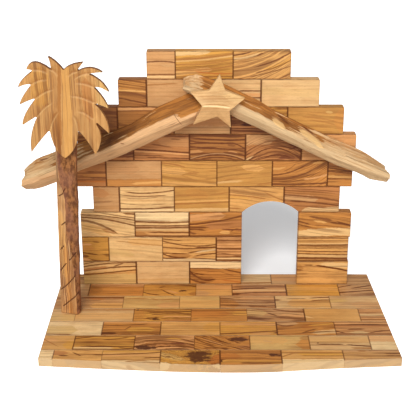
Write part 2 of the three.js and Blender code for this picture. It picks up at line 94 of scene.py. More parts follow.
class Tree:
    """The node tree of one material. A value may be a number, a colour or another node's output."""

    def __init__(self, name):
        self.material = bpy.data.materials.new(name)
        self.material.use_nodes = True
        self.nodes = self.material.node_tree.nodes
        self.links = self.material.node_tree.links
        self.shader = self.nodes["Principled BSDF"]

    def feed(self, socket, value):
        if isinstance(value, bpy.types.NodeSocket):
            self.links.new(value, socket)
        else:
            socket.default_value = value

    def maths(self, operation, first, second=0.0, third=0.0):
        node = self.nodes.new("ShaderNodeMath")
        node.operation = operation
        for socket, value in zip(node.inputs, (first, second, third)):
            self.feed(socket, value)
        return node.outputs[0]

    def vector_maths(self, operation, first, second):
        node = self.nodes.new("ShaderNodeVectorMath")
        node.operation = operation
        self.feed(node.inputs[0], first)
        self.feed(node.inputs[1], second)
        return node.outputs[1] if operation == "DISTANCE" else node.outputs[0]

    def grain_place(self, centre, turn):
        """Millimetres from the centre, with X turned to run along the grain."""
        place = self.nodes.new("ShaderNodeTexCoord").outputs["Object"]
        node = self.nodes.new("ShaderNodeMapping")
        node.vector_type = "TEXTURE"
        self.feed(node.inputs["Vector"], place)
        self.feed(node.inputs["Location"], centre)
        self.feed(node.inputs["Rotation"], turn)
        self.feed(node.inputs["Scale"], (MM, MM, MM))
        return node.outputs[0]

    def split(self, vector):
        node = self.nodes.new("ShaderNodeSeparateXYZ")
        self.feed(node.inputs[0], vector)
        return node.outputs

    def join(self, along, deep, across):
        node = self.nodes.new("ShaderNodeCombineXYZ")
        for socket, value in zip(node.inputs, (along, deep, across)):
            self.feed(socket, value)
        return node.outputs[0]

    def noise(self, vector, scale, detail=2.0, roughness=0.5):
        """Noise from about 0.3 to 0.7; the scale is features in a millimetre along X, Y and Z."""
        node = self.nodes.new("ShaderNodeTexNoise")
        self.feed(node.inputs["Vector"], self.vector_maths("MULTIPLY", vector, scale))
        self.feed(node.inputs["Scale"], 1.0)
        self.feed(node.inputs["Detail"], detail)
        self.feed(node.inputs["Roughness"], roughness)
        return node.outputs[0]

    def noise_along(self, position, scale, detail):
        """The same noise on one line."""
        node = self.nodes.new("ShaderNodeTexNoise")
        node.noise_dimensions = "1D"
        self.feed(node.inputs["W"], position)
        self.feed(node.inputs["Scale"], scale)
        self.feed(node.inputs["Detail"], detail)
        return node.outputs[0]

    def span(self, value, low, high, to_low=0.0, to_high=1.0):
        """Maps low..high smoothly to to_low..to_high and holds the ends."""
        node = self.nodes.new("ShaderNodeMapRange")
        node.interpolation_type = "SMOOTHSTEP"
        for socket, given in zip(node.inputs, (value, low, high, to_low, to_high)):
            self.feed(socket, given)
        return node.outputs[0]

    def blend(self, share, first, second, mode="MIX"):
        node = self.nodes.new("ShaderNodeMix")
        node.data_type = "RGBA"
        node.blend_type = mode
        self.feed(node.inputs[0], share)
        self.feed(node.inputs[6], first)
        self.feed(node.inputs[7], second)
        return node.outputs[2]

    def tint(self, colour, share, dark, light):
        """The colour, tinted from dark to light by the share."""
        return self.blend(1.0, colour, self.blend(share, dark + (1.0,), light + (1.0,)), "MULTIPLY")

    def attribute(self, name):
        node = self.nodes.new("ShaderNodeAttribute")
        node.attribute_name = name
        return node.outputs["Fac"]

    def finish(self, colour, roughness, height, depth):
        """Feeds the shader; depth is the bump's depth in millimetres."""
        bump = self.nodes.new("ShaderNodeBump")
        self.feed(bump.inputs["Distance"], depth * MM)
        self.feed(bump.inputs["Strength"], 1.0)
        self.feed(bump.inputs["Height"], height)
        self.links.new(bump.outputs[0], self.shader.inputs["Normal"])
        self.feed(self.shader.inputs["Base Color"], colour)
        self.feed(self.shader.inputs["Specular IOR Level"], SHEEN)
        self.feed(self.shader.inputs["Roughness"], roughness)
        return self.material


@dataclass
class Streak:
    """A line or band of other wood across a face, in millimetres from the face's middle."""

    left: float  # height of its left end, across the grain
    right: float  # height of its right end
    half: float = 0.7  # half its width
    bow: float = 0.0  # how far its middle lies above the straight line between its ends
    ends: tuple = ()  # where its ends lie along the face; () for the face's own ends
    tone: str = "line"
    strength: float = 0.9


@dataclass
class Look:
    """How one block's wood looks. Heights are millimetres across the grain, from the middle of the face."""

    tone: str
    lines: float = 0.3  # strength of the scattered dark lines
    spacing: float = 5.0  # between those
    wave: float = 1.0  # how far they wander
    slope: float = 0.0  # degrees, rising to the right
    arch: float = 0.0  # how far they drop 30 mm to either side of arch_at
    arch_at: float = 0.0
    streaks: tuple = ()
    knots: tuple = ()  # place along, height, size and length in sizes of dark knots
    joint: float = 0.6  # darkness of the glue line at the right end


ON_WALL = "wall"
ON_BASE = "base"
UPRIGHT = "upright"
GRAIN_TURN = {
    ON_WALL: (0.0, 0.0, 0.0),
    ON_BASE: (-math.pi / 2, 0.0, 0.0),
    UPRIGHT: (0.0, -math.pi / 2, 0.0),
}
FREE_END = 0.3  # darkness of an edge without a neighbour
STREAK_WANDER = 1.8
STREAK_RAGGED = 0.6
STREAK_SOFT = 0.45
BAND_HALF = 1.6  # streaks with a larger half width lie under the scattered lines
TAPER = 8.0  # how far from its end a streak starts to run out
END_MARGIN = 3  # a streak that ends this near to the block's end runs on over it
FIGURE_WANDER = 5.0
GRAIN_LEAN = 0.3  # rise of the figure for a millimetre of depth
ARCH_HALF = 30.0
KNOT_RAGGED = 1.7
KNOT_LIFT = 0.7  # how far the grain bends round a knot, in sizes
KNOT_REACH = 2.4  # how far from a knot it bends, in sizes
BAND_SPACING = 2.6
# Noise scales are features in a millimetre along the grain, into the block and across the grain
KNOT_SCALE = (0.13, 0.13, 0.2)
WANDER_SCALE = (0.022, 0.05, 0.06)
DRIFT_SCALE = (0.02, 0.03, 0.05)
MOTTLE_SCALE = (0.16, 0.2, 0.2)
PATCH_SCALE = (0.02, 0.06, 0.1)
EDGE_SCALE = (0.16, 0.5, 0.8)
FIBRE_SCALE = (0.07, 1.2, 1.7)
PORE_SCALE = (0.3, 2.6, 3.4)
GLUE_SCALE = (0.07, 0.1, 0.13)
# Where noise starts and stops to count, and how much it then does
DRIFT_SPAN = (0.35, 0.65)
DIM, BRIGHT = 0.92, 1.07
MOTTLE_LENGTH = 0.35
MOTTLE_SPAN = (0.4, 0.7)
MOTTLE_LEAST, MOTTLE_BY_LINES = 0.22, 0.45
BAND_SPAN = (0.42, 0.75)
BAND_LEAST, BAND_BY_LINES = 0.25, 0.4
LINE_SPAN = (0.015, 0.085)
LINE_STRENGTH = 1.8
PATCH_SPAN = (0.36, 0.58)
PATCH_LEAST = 0.2
KNOT_RINGS = 4.0
KNOT_SPAN = (0.1, 0.6)
KNOT_DARKNESS = 0.92
PORE_SPAN = (0.64, 0.74)
PORE_DARKNESS = 0.4
PORE_DEPTH, LINE_DEPTH, GLUE_DEPTH = -0.6, -0.25, -1.0
FIBRE_SPAN = (0.3, 0.7)
SANDED_ROUGHNESS = (0.42, 0.6)
SANDED_DEPTH = 0.1
SEAM_ON_BASE = 0.6
SEAM_ON_WALL = 0.95
SAWN_SHARE = 0.72  # how far the base's sawn front and back hide the figure


def knot_nearness(tree, grain, place, rise, size, length, reach):
    """1 in the middle of a knot, 0 beyond its reach."""
    flat = tree.vector_maths("MULTIPLY", grain, (1 / length, 0.3, 1.0))
    away = tree.vector_maths("DISTANCE", flat, (place / length, 0.0, rise))
    ragged = tree.maths("SUBTRACT", tree.noise(grain, KNOT_SCALE, 3.0, 0.6), 0.5)
    away = tree.maths("MULTIPLY_ADD", ragged, KNOT_RAGGED * size, away)
    return tree.span(away, 0.0, size * reach, 1.0, 0.0)


def grain_heights(tree, grain, look, shift):
    """Heights across the grain, bent by the wandering and the knots: one for the streaks, and one for the
    scattered lines, which the slope and the arch bend too. A line lies where its height is the same."""
    along, deep, across = tree.split(grain)
    wander = tree.noise(tree.vector_maths("ADD", grain, shift), WANDER_SCALE, 2.5)
    wander = tree.maths("SUBTRACT", wander, 0.5)
    across = tree.maths("MULTIPLY_ADD", deep, GRAIN_LEAN, across)
    for place, rise, size, length in look.knots:
        near = knot_nearness(tree, grain, place, rise, size, length, KNOT_REACH)
        across = tree.maths("MULTIPLY_ADD", near, size * KNOT_LIFT, across)
    streak_height = tree.maths("MULTIPLY_ADD", wander, STREAK_WANDER, across)
    height = tree.maths("MULTIPLY_ADD", wander, FIGURE_WANDER * look.wave, across)
    height = tree.maths("MULTIPLY_ADD", along, -math.tan(math.radians(look.slope)), height)
    if look.arch:
        from_middle = tree.maths("DIVIDE", tree.maths("SUBTRACT", along, look.arch_at), ARCH_HALF)
        square = tree.maths("MULTIPLY", from_middle, from_middle)
        height = tree.maths("MULTIPLY_ADD", square, look.arch, height)
    return along, streak_height, height


def streak_share(tree, along, height, ragged, streak, half_length):
    """How strongly a streak shows at a point: ragged at its edges, and running out to a point."""
    start, end = streak.ends or (-half_length, half_length)
    length = end - start
    rise = (streak.right - streak.left) / length
    bend = 4 * streak.bow / length ** 2
    steepness = tree.maths("MULTIPLY_ADD", along, -bend, rise + bend * (start + end))
    middle = tree.maths("MULTIPLY_ADD", along, steepness, streak.left - rise * start - bend * start * end)
    away = tree.maths("ABSOLUTE", tree.maths("SUBTRACT", height, middle))
    away = tree.maths("MULTIPLY_ADD", ragged, STREAK_RAGGED + streak.half, away)
    soft = min(streak.half, STREAK_SOFT)
    if streak.ends:
        start -= TAPER if start < END_MARGIN - half_length else 0
        end += TAPER if end > half_length - END_MARGIN else 0
        length = end - start
        outward = tree.maths("ABSOLUTE", tree.maths("SUBTRACT", along, (start + end) / 2))
        tapering = length / 2 - min(TAPER, length / 3)
        narrowing = tree.span(outward, tapering, length / 2 + 1.5, 0.0, streak.half + soft)
        away = tree.maths("ADD", away, narrowing)
    return tree.span(away, streak.half - soft, streak.half + soft, streak.strength, 0.0)


def wood_colour(tree, grain, look, shift, half_length):
    """The figure's colour, the darkness of its lines and the height that they follow."""
    along, streak_height, height = grain_heights(tree, grain, look, shift)
    deep = tree.maths("ADD", tree.split(grain)[1], shift[1])
    own_place = shift[0]
    drift = tree.noise(tree.vector_maths("ADD", grain, shift), DRIFT_SCALE, 2.0)
    colour = tree.blend(tree.span(drift, *DRIFT_SPAN), tone(look.tone, DIM), tone(look.tone, BRIGHT))
    drawn_out = tree.join(tree.maths("MULTIPLY", along, MOTTLE_LENGTH), deep, height)
    mottle = tree.noise(drawn_out, MOTTLE_SCALE, 3.0, 0.6)
    mottle = tree.span(mottle, *MOTTLE_SPAN, 0.0, MOTTLE_LEAST + MOTTLE_BY_LINES * look.lines)
    colour = tree.blend(mottle, colour, tone("brown", 1.15))
    ragged = tree.noise_along(tree.maths("ADD", height, own_place), 1 / BAND_SPACING, 3.0)
    ragged = tree.span(ragged, *BAND_SPAN, 0.0, BAND_LEAST + BAND_BY_LINES * look.lines)
    colour = tree.blend(ragged, colour, tone("brown"))
    edges = tree.maths("SUBTRACT", tree.noise(grain, EDGE_SCALE, 3.0, 0.6), 0.48)
    for streak in look.streaks:
        if streak.half > BAND_HALF:
            share = streak_share(tree, along, streak_height, edges, streak, half_length)
            colour = tree.blend(share, colour, tone(streak.tone))
    fine = tree.noise_along(tree.maths("ADD", height, 3.7 * own_place), 1 / look.spacing, 2.0)
    fine = tree.span(tree.maths("ABSOLUTE", tree.maths("SUBTRACT", fine, 0.5)), *LINE_SPAN, 1.0, 0.0)
    patches = tree.noise(tree.vector_maths("ADD", grain, shift), PATCH_SCALE, 2.0)
    lines = tree.maths("MULTIPLY", fine, tree.span(patches, *PATCH_SPAN, PATCH_LEAST, 1.0))
    lines = tree.maths("MULTIPLY", lines, min(1.0, LINE_STRENGTH * look.lines))
    colour = tree.blend(lines, colour, tone("line"))
    for streak in look.streaks:
        if streak.half <= BAND_HALF:
            share = streak_share(tree, along, streak_height, edges, streak, half_length)
            colour = tree.blend(share, colour, tone(streak.tone))
            lines = tree.maths("MAXIMUM", lines, share)
    for place, rise, size, length in look.knots:
        near = knot_nearness(tree, grain, place, rise, size, length, 1.0)
        ring = tree.noise_along(near, KNOT_RINGS, 1.0)
        near = tree.maths("MULTIPLY_ADD", tree.maths("SUBTRACT", ring, 0.5), 0.5, near)
        colour = tree.blend(tree.span(near, *KNOT_SPAN, 0.0, KNOT_DARKNESS), colour, tone("knot"))
    return colour, lines, height


def facing_share(tree, axis, most=1.0):
    """How much a surface looks along an axis, either way, up to most."""
    normal = tree.split(tree.nodes.new("ShaderNodeTexCoord").outputs["Normal"])
    return tree.span(tree.maths("ABSOLUTE", normal[axis]), 0.5, 0.8, 0.0, most)


def glue_lines(tree, grain, face, half_length, half_height, left, right):
    """Darkness of the glue at the ends and long edges of a block's face."""
    along, _, across = tree.split(grain)
    facing = facing_share(tree, 2 if face == ON_BASE else 1)
    uneven = tree.noise(grain, GLUE_SCALE, 2.0)
    seam = tree.maths("SUBTRACT", half_height, tree.maths("ABSOLUTE", across))
    dark = tree.span(seam, 0.3, 1.0, 1.0, 0.0)
    strongest = SEAM_ON_BASE if face == ON_BASE else SEAM_ON_WALL
    dark = tree.maths("MULTIPLY", dark, tree.span(uneven, 0.32, 0.62, 0.3 * strongest, strongest))
    for away, strength in ((tree.maths("ADD", along, half_length), left),
                           (tree.maths("SUBTRACT", half_length, along), right)):
        darkest = min(0.97, 0.25 + 0.8 * strength)
        edge = tree.span(away, 0.1 + 0.35 * strength, 0.5 + 0.65 * strength, darkest, 0.0)
        dark = tree.maths("MAXIMUM", dark, edge)
    return tree.maths("MULTIPLY", dark, facing)


def olive_wood(name, look, box, face, seed, left_joint=FREE_END):
    """Sanded olive wood: streaks and wandering lines, knots, fine fibres, open pores and glued edges."""
    tree = Tree(name)
    chance = random.Random(seed)
    shift = tuple(chance.uniform(-400, 400) for _ in range(3))
    low, high = box
    size = (Vector(high) - Vector(low)) / MM
    half_length = size.z / 2 if face == UPRIGHT else size.x / 2
    half_height = {ON_WALL: size.z, ON_BASE: size.y, UPRIGHT: size.x}[face] / 2
    grain = tree.grain_place(middle_of_face(low, high, face), GRAIN_TURN[face])
    colour, lines, height = wood_colour(tree, grain, look, shift, half_length)
    along, deep, _ = tree.split(grain)
    bent = tree.join(along, deep, height)
    fibre = tree.noise(bent, FIBRE_SCALE, 3.0, 0.6)
    colour = tree.tint(colour, fibre, (0.84, 0.82, 0.78), (1.15, 1.16, 1.18))
    pores = tree.noise(bent, PORE_SCALE, 1.0)
    pores = tree.span(pores, *PORE_SPAN)
    colour = tree.blend(tree.maths("MULTIPLY", pores, PORE_DARKNESS), colour, tone("line"))
    relief = tree.maths("MULTIPLY_ADD", pores, PORE_DEPTH, fibre)
    relief = tree.maths("MULTIPLY_ADD", lines, LINE_DEPTH, relief)
    if face != UPRIGHT:
        glue = glue_lines(tree, grain, face, half_length, half_height, left_joint, look.joint)
        colour = tree.blend(glue, colour, tone("line", 0.85))
        relief = tree.maths("MULTIPLY_ADD", glue, GLUE_DEPTH, relief)
    if face == ON_BASE:
        sawn = tree.blend(fibre, tone("bone", 0.62), tone("bone", 0.8))
        colour = tree.blend(facing_share(tree, 1, SAWN_SHARE), colour, sawn)
    roughness = tree.span(fibre, *FIBRE_SPAN, *SANDED_ROUGHNESS)
    return tree.finish(colour, roughness, relief, SANDED_DEPTH)


# Wall: each block is its CAD node with wood of its own, listed from the bottom course, left to right

WALL_LOOKS = [
    [
        Look("honey", 0.18, joint=1.0, streaks=(
            Streak(-10, -8, 7, tone="straw"), Streak(8.5, 12, 8.5, tone="pale", strength=0.5),
            Streak(-2.3, 3.5, 0.8), Streak(2.5, 8, 0.9, 1), Streak(7.5, 12.8, 0.7, 1.5),
            Streak(10.5, 14.5, 0.5, ends=(-30, -12)), Streak(7, 12.5, 0.7, ends=(2, 18)),
            Streak(4, 8, 1.2, tone="umber", ends=(-30, 0)))),
        Look("beige", 0.08, joint=0.9, streaks=(
            Streak(11.5, 11.5, 2.8, tone="tan", strength=0.35),
            Streak(-9, -9, 2, tone="honey", strength=0.4), Streak(8, 8.5, 0.5, strength=0.2))),
        Look("orange", 0.35, 6, joint=0.3, streaks=(
            Streak(10.5, 10, 4.6, tone="cream"), Streak(5.6, 5, 0.6, ends=(-29, 9)),
            Streak(5.2, 0.1, 0.9, ends=(7, 29)), Streak(-3, -8, 3.4, -3, (-27, 2), "brown"),
            Streak(2, -5.5, 1.0, -7, (-29, 3), strength=1), Streak(1.5, -2.5, 0.7, -1, (-29, -9)),
            Streak(-2, -6, 0.8, -3.5, (-27, -3), "dark", 1),
            Streak(-8, -12, 1.2, -1.5, (-28, -7), "dark", 1),
            Streak(-8.5, -12, 0.8, ends=(4, 29), tone="rust"),
            Streak(3, -5, 0.7, ends=(2, 24), strength=0.4))),
        Look("honey", 0.25, 5, joint=0.3, streaks=(
            Streak(4, 3, 0.9, ends=(-29, -19), tone="dark"), Streak(11, 9, 3, ends=(-4, 29), tone="pale"),
            Streak(6, 6, 5, ends=(-29, -21), tone="brown", strength=0.5),
            Streak(9.8, 9.8, 0.6, ends=(-22, -9)), Streak(9.8, 3.2, 1.0, 0.6, (-11, 27), "line", 1),
            Streak(1, -1, 0.6, 1.5, (-20, 28), strength=0.35), Streak(-5, -5, 0.6, 1, strength=0.3))),
    ],
    [
        Look("gold", 0.3, 5, joint=0.6, streaks=(
            Streak(-8, -8.5, 1.8, ends=(-15, -6), tone="dark"), Streak(-4, -7, 0.8, ends=(-15, 6)),
            Streak(-10, -14, 1.0, -2, (-11, 14), "dark"),
            Streak(-6.5, -7, 1.4, ends=(7, 15), strength=0.6),
            Streak(9.5, 8.5, 0.8, ends=(-4, 6), strength=0.6),
            Streak(6, 6, 1.2, ends=(-12, -2), tone="rose"),
            Streak(4, 3, 8, ends=(-2, 15), tone="gold", strength=0.6),
            Streak(2, 1, 3, ends=(-15, 0), tone="amber"),
            Streak(-12, -13, 1.5, ends=(-15, -4), tone="rose"))),
        Look("pale", 0.1, 6, 0.6, -5, joint=0.3, streaks=(
            Streak(9, 8, 4, ends=(-10, 30), tone="honey", strength=0.6),
            Streak(10.5, 4.5, 0.8, -0.5, (-25, 30), "brown", 0.6),
            Streak(13, 10.8, 0.7, tone="brown", strength=0.5),
            Streak(1, -3, 0.7, ends=(-25, 5), tone="brown", strength=0.3),
            Streak(-3, -7, 4, ends=(-30, 0), tone="straw", strength=0.5))),
        Look("honey", 0.18, 4, 0.6, joint=0.9, streaks=(
            Streak(-13.5, -13.5, 1.8, tone="cream"), Streak(-7.5, -7.5, 2.8, -0.5, (-26, 4), "brown", 0.7),
            Streak(12.5, 10, 0.6, ends=(-29, -5)), Streak(10, 6, 0.7, -3.5), Streak(2.5, 2.5, 0.7, -1.2),
            Streak(2.5, 2.8, 0.8, ends=(4, 30)), Streak(-4.5, -5.5, 0.7, ends=(-29, 0)),
            Streak(-5.5, -0.5, 0.8, 1, (-6, 30)), Streak(-6.5, -9.5, 0.9, -2.5, (-28, 2)),
            Streak(-9.5, -5, 0.8, 1, (2, 30)), Streak(-11, -10.5, 0.9, -0.5, (-28, 0)),
            Streak(-10.5, -12.5, 0.6, ends=(0, 30)),
            Streak(-4, 0, 1, ends=(4, 30), tone="cream", strength=0.6))),
        Look("rose", 0.3, 4, 0.6, joint=0.3, streaks=(
            Streak(-8, -8.5, 1.2, ends=(3, 14), tone="dark", strength=0.8),
            Streak(11.3, 11, 0.7, ends=(-12, 14)), Streak(1.2, 0.5, 1.0, -0.3),
            Streak(-4.5, -6.5, 0.5, ends=(-14, 6)), Streak(-9.8, -9.5, 0.6), Streak(-13.2, -13.6, 0.9),
            Streak(-11.5, -11.5, 1, tone="pale"))),
        Look("honey", 0.25, 3.4, 0.3, joint=0.3, streaks=(
            Streak(9, 9, 3, tone="honey", strength=0.35), Streak(1.6, 1.9, 0.6),
            Streak(3.6, 3.7, 0.5, strength=0.6), Streak(-2.2, -2.6, 0.6),
            Streak(-7.5, -8.5, 2.0, tone="pale", strength=0.6), Streak(-10.8, -12, 1.3, tone="dark"),
            Streak(13.2, 13.4, 0.5), Streak(9.8, 10, 0.5, strength=0.5), Streak(5.2, 5.5, 0.8),
            Streak(-5.3, -6.5, 0.7), Streak(-10.2, -10.8, 0.7), Streak(-14, -14.2, 0.8),
            Streak(7, 7, 0.8, tone="pale", strength=0.6))),
    ],
    [
        Look("pale", 0.18, 5, 0.8, -9, joint=0.7, streaks=(
            Streak(-1, -14, 5, 2.5, (-34, 4), "gold", 0.4),
            Streak(-6, -12, 2.6, 1.5, (-8, 12), "brown", 0.6),
            Streak(5.5, -12, 1.4, 3.5, (-30, 12), "line", 0.75), Streak(8.7, -0.5, 0.9, 2, (-30, 28)),
            Streak(12, 5.5, 0.7, 1.2), Streak(15, 8, 0.7, ends=(-12, 30), strength=0.7),
            Streak(14, 12.5, 1.1, ends=(14, 30), tone="dark"), Streak(10.5, 3, 0.5, 1.5, strength=0.5))),
        Look("pale", 0.35, 4, 0.3, joint=1.0, streaks=(
            Streak(9.2, 9.2, 5.6, tone="cream", strength=1), Streak(-3.2, -2.8, 1.8, tone="tan"),
            Streak(-10, -11, 4, tone="orange", strength=0.6),
            Streak(-11, -12, 2.2, ends=(-30, -14), tone="brown", strength=0.7), Streak(4, 3.2, 0.7, -1.6),
            Streak(-1.2, -0.5, 0.6, -0.8), Streak(-3.8, -2.8, 0.7, -0.6),
            Streak(-9.2, -9.5, 0.8, ends=(-18, 30)), Streak(-13.8, -13.8, 0.9, tone="dark"),
            Streak(-6.5, -6.2, 1, tone="pale", strength=0.5))),
        Look("orange", 0.3, 4.5, 1.2, 5, joint=0.3, streaks=(
            Streak(8, 11, 4, ends=(-29, 12), tone="rose"),
            Streak(-1.5, 1, 5, ends=(-12, 30), tone="umber"),
            Streak(-9.5, -9.5, 2.3, ends=(4, 17), tone="honey"), Streak(0.5, 11, 0.9, -2),
            Streak(-2.5, -3.5, 0.8, -0.5, (-29, -4)), Streak(-5.5, -8, 0.8, 1, (-29, -8)),
            Streak(-9, -10.5, 1.2, -1, (-28, -20), "dark"), Streak(-13.8, -13.6, 1.2, tone="dark"),
            Streak(-5.5, -6.5, 0.9, ends=(4, 29), tone="plum"), Streak(-9, -5, 0.9, 1, (16, 26), "dark"),
            Streak(13.5, 13, 0.9, ends=(-29, -24), tone="rust"))),
        Look("amber", 0.3, 5, 1.2, -8, joint=0.3, streaks=(
            Streak(4, 0, 4, tone="brown", strength=0.5), Streak(10, 11, 3, ends=(6, 29), tone="orange"),
            Streak(-11.8, -8.8, 4.8, 1.2, tone="pale"), Streak(11, 4.5, 1.5, -0.3, (-20, 11), "dark"),
            Streak(5, -0.5, 0.7, ends=(9, 29)), Streak(4, -1, 0.8, ends=(-28, -12)),
            Streak(0, -3.5, 0.7, ends=(-28, -12)), Streak(2.5, -1, 0.8, 1, (3, 28)),
            Streak(5, 2, 1.2, ends=(-14, 4), tone="honey"),
            Streak(-1, -4.5, 0.5, 1, (-14, 28), strength=0.6))),
    ],
    [
        Look("tan", 0.15, joint=1.0, streaks=(
            Streak(9, 6, 5, ends=(-14, 4), tone="umber", strength=0.7),
            Streak(-3, -2, 0.9, ends=(-12, 10), strength=0.4),
            Streak(-9, -10, 2, tone="brown", strength=0.35))),
        Look("pale", 0.2, 4.6, 0.5, joint=0.65, streaks=(
            Streak(9.8, 11, 0.7, -3, (-26, 30)), Streak(5.5, 5.5, 0.6, -1.8, (-28, 25), strength=0.75),
            Streak(2, 3, 0.5, -1.5, (-26, 15), strength=0.55),
            Streak(-4.5, -4, 0.5, -2.2, (-28, 25), strength=0.6),
            Streak(-10.8, -8.5, 0.8, -1.2, (-28, 30)), Streak(-13.5, -12.5, 1, tone="cream"))),
        Look("ochre", 0.15, 5, 0.5, 3, joint=0.8, streaks=(
            Streak(-12.6, -12.4, 2.2, tone="pale", strength=0.6), Streak(-2.8, -0.5, 1.0, tone="honey"),
            Streak(5, 5, 0.7, ends=(-27, 8), tone="brown", strength=0.7),
            Streak(5, 8.5, 0.7, ends=(5, 30), tone="brown", strength=0.6),
            Streak(-4.8, -2.5, 0.9, -0.5, tone="brown", strength=0.9),
            Streak(9, 4, 5, ends=(-20, 10), tone="amber", strength=0.4))),
        Look("honey", 0.3, 4.6, 0.8, -8, joint=1.0, streaks=(
            Streak(5.5, -0.5, 0.8, 0.8, (-27, 15), "brown"), Streak(10, -0.5, 0.9, -0.5, (6, 28), "brown"),
            Streak(-10.5, -11.5, 0.8, ends=(-28, -13), tone="brown"),
            Streak(12, 7, 0.6, ends=(-5, 26), strength=0.5),
            Streak(3, 1, 2, ends=(-28, -5), tone="gold", strength=0.6))),
        Look("umber", 0.35, 5, 0.6, -5, joint=0.3, streaks=(
            Streak(6, 3, 4, ends=(-5, 30), tone="brown", strength=0.55),
            Streak(-13.5, -12.5, 5, -1, (-12, 31), "beige"),
            Streak(3, 0, 4, ends=(-31, 8), tone="tan", strength=0.8),
            Streak(5.5, -2, 1.1, 1, (-28, 30), "dark"),
            Streak(9, 7, 2, ends=(-28, 10), tone="brown", strength=0.5),
            Streak(-1.5, -7.5, 0.8, 1.2, (-27, 30)),
            Streak(-6.5, -10.5, 0.6, 0.6, (-25, 20), strength=0.6), Streak(11, 9, 0.6, strength=0.3))),
    ],
    [
        Look("umber", 0.4, 4.4, 0.5, joint=0.8, streaks=(
            Streak(-5, -5, 0.7, ends=(-6, 15)), Streak(2.5, 2.2, 0.6, ends=(-10, 15)),
            Streak(-9, -9, 1, tone="rust"),
            Streak(-2, -2, 1.5, ends=(-12, 15), tone="orange", strength=0.6))),
        Look("tan", 0.12, 3, 0.4, joint=0.6, streaks=(
            Streak(6, 6, 6, ends=(-30, 8), tone="umber", strength=0.25),
            Streak(-11, -10.5, 4.4, tone="orange", strength=0.9),
            Streak(-12, -9.5, 1.2, 0.5, (-5, 30), "honey"),
            Streak(-6.8, -5.8, 0.7, tone="brown", strength=0.6),
            Streak(7.5, 7.5, 0.4, ends=(-20, 10), strength=0.25),
            Streak(2, 2, 0.4, ends=(-5, 15), strength=0.25))),
        Look("ochre", 0.25, 7, 1.6, -5, joint=0.6, streaks=(
            Streak(4, 2, 4, ends=(-30, -2), tone="honey", strength=0.7),
            Streak(12.3, 6, 0.9, 1.5, (-29, 0), "brown"), Streak(1, 2, 1.4, -0.5, (-4, 12), "brown", 0.6),
            Streak(0, -9, 0.9, ends=(-12, 10), tone="brown", strength=0.5),
            Streak(4, 3, 0.7, ends=(18, 29), tone="brown", strength=0.6),
            Streak(-6, -5, 0.7, ends=(14, 28), strength=0.4),
            Streak(-11, -12, 2, tone="honey", strength=0.6))),
        Look("ochre", 0.22, 5, 1.2, 6, joint=0.8, streaks=(
            Streak(8, 6, 4, ends=(-5, 22), tone="honey", strength=0.8),
            Streak(5, 12, 0.8, -1, (-5, 30), "brown", 0.5),
            Streak(-13, -10, 1.0, ends=(10, 30), tone="brown", strength=0.8),
            Streak(-7, -4, 0.7, ends=(-25, 15), tone="brown", strength=0.5),
            Streak(-10, -8, 1.2, ends=(-29, 0), tone="pale", strength=0.5),
            Streak(-2.5, 1, 0.6, ends=(-15, 12), strength=0.3))),
        Look("orange", 0.4, 4.4, 0.8, 10, -6, -10, joint=0.8, streaks=(
            Streak(-1, 13.5, 0.8, -3.5, (-29, 11)), Streak(3, 15, 0.6, -2.5, (-20, -2), strength=0.6),
            Streak(-4.5, 6.5, 0.7, -2, (-14, 18)), Streak(-9.5, -1.5, 0.6, -2, (-25, 28), strength=0.75),
            Streak(-12, -10.3, 0.9, -0.8), Streak(1, 9, 1, -1.5, (-10, 10), "brown", 0.8),
            Streak(-7, 3, 0.6, -2, (-27, 26), strength=0.6),
            Streak(6, 9, 1.2, -1, (-28, -14), "honey", 0.6),
            Streak(12, 13, 1.2, ends=(12, 26), tone="honey", strength=0.7),
            Streak(-6, -1.5, 1, -1.2, (0, 28), "rose"))),
        Look("orange", 0.45, 3.4, 0.5, -3, joint=0.3, streaks=(
            Streak(7, 3, 0.8), Streak(2.5, 0.5, 0.7), Streak(-5.5, -6, 0.6),
            Streak(11, 9, 3, tone="umber"), Streak(-3, -4, 1.4, tone="honey", strength=0.7))),
    ],
    [
        Look("umber", 0.5, 4.4, 0.8, joint=0.8, streaks=(
            Streak(-9, -7, 4, tone="dark", strength=0.7), Streak(-9.5, -6.5, 0.8, ends=(12, 30)))),
        Look("umber", 0.3, 5, 0.5, -3, joint=1.0, streaks=(
            Streak(7, 6, 5, ends=(-5, 30), tone="tan", strength=0.3),
            Streak(-2.5, -6, 0.9, 0.3, (-27, 30), "line", 1),
            Streak(-4.5, -8, 0.9, 0.3, (-27, 30), "rose", 0.8), Streak(-8.5, -9.8, 0.6, ends=(-28, 6)),
            Streak(-11, -12.5, 0.7, ends=(-20, 30)), Streak(4.5, -0.5, 0.9, ends=(-15, 15), strength=0.6),
            Streak(13.5, 13, 0.8), Streak(10, 9, 0.7, ends=(8, 22), strength=0.7))),
        Look("brown", 0.7, 4, 1.2, joint=1.0, streaks=(
            Streak(11, 9, 0.8, -1.5), Streak(7.5, 6, 0.8, -2, (-29, 20)), Streak(1.5, -1.5, 0.8, -1.5),
            Streak(-2, -4, 0.6, 1.5), Streak(-7.5, -9.5, 0.8, 2, (-28, 29)),
            Streak(3, 2, 1.3, ends=(10, 20), tone="dark", strength=0.8),
            Streak(4.5, 4, 0.9, 0.5, (-29, 12)), Streak(4.5, -1.5, 0.9, 2.5, (10, 29)),
            Streak(0, -1, 0.6, 0.8, (-29, 4)), Streak(-5, -4.5, 1.6, 0.5, (-28, -14), "rose", 0.45),
            Streak(-5, -8, 1.4, 1, (10, 24), "rose", 0.45), Streak(-2.5, -5.5, 0.6, 1.5, (2, 29)),
            Streak(-5.5, -9, 0.7, 1, (3, 29)), Streak(-13.5, -14, 1.0, 5.5, (-30, 29), "line", 1),
            Streak(-14.5, -14.8, 0.8, 3.5, (-22, 22)),
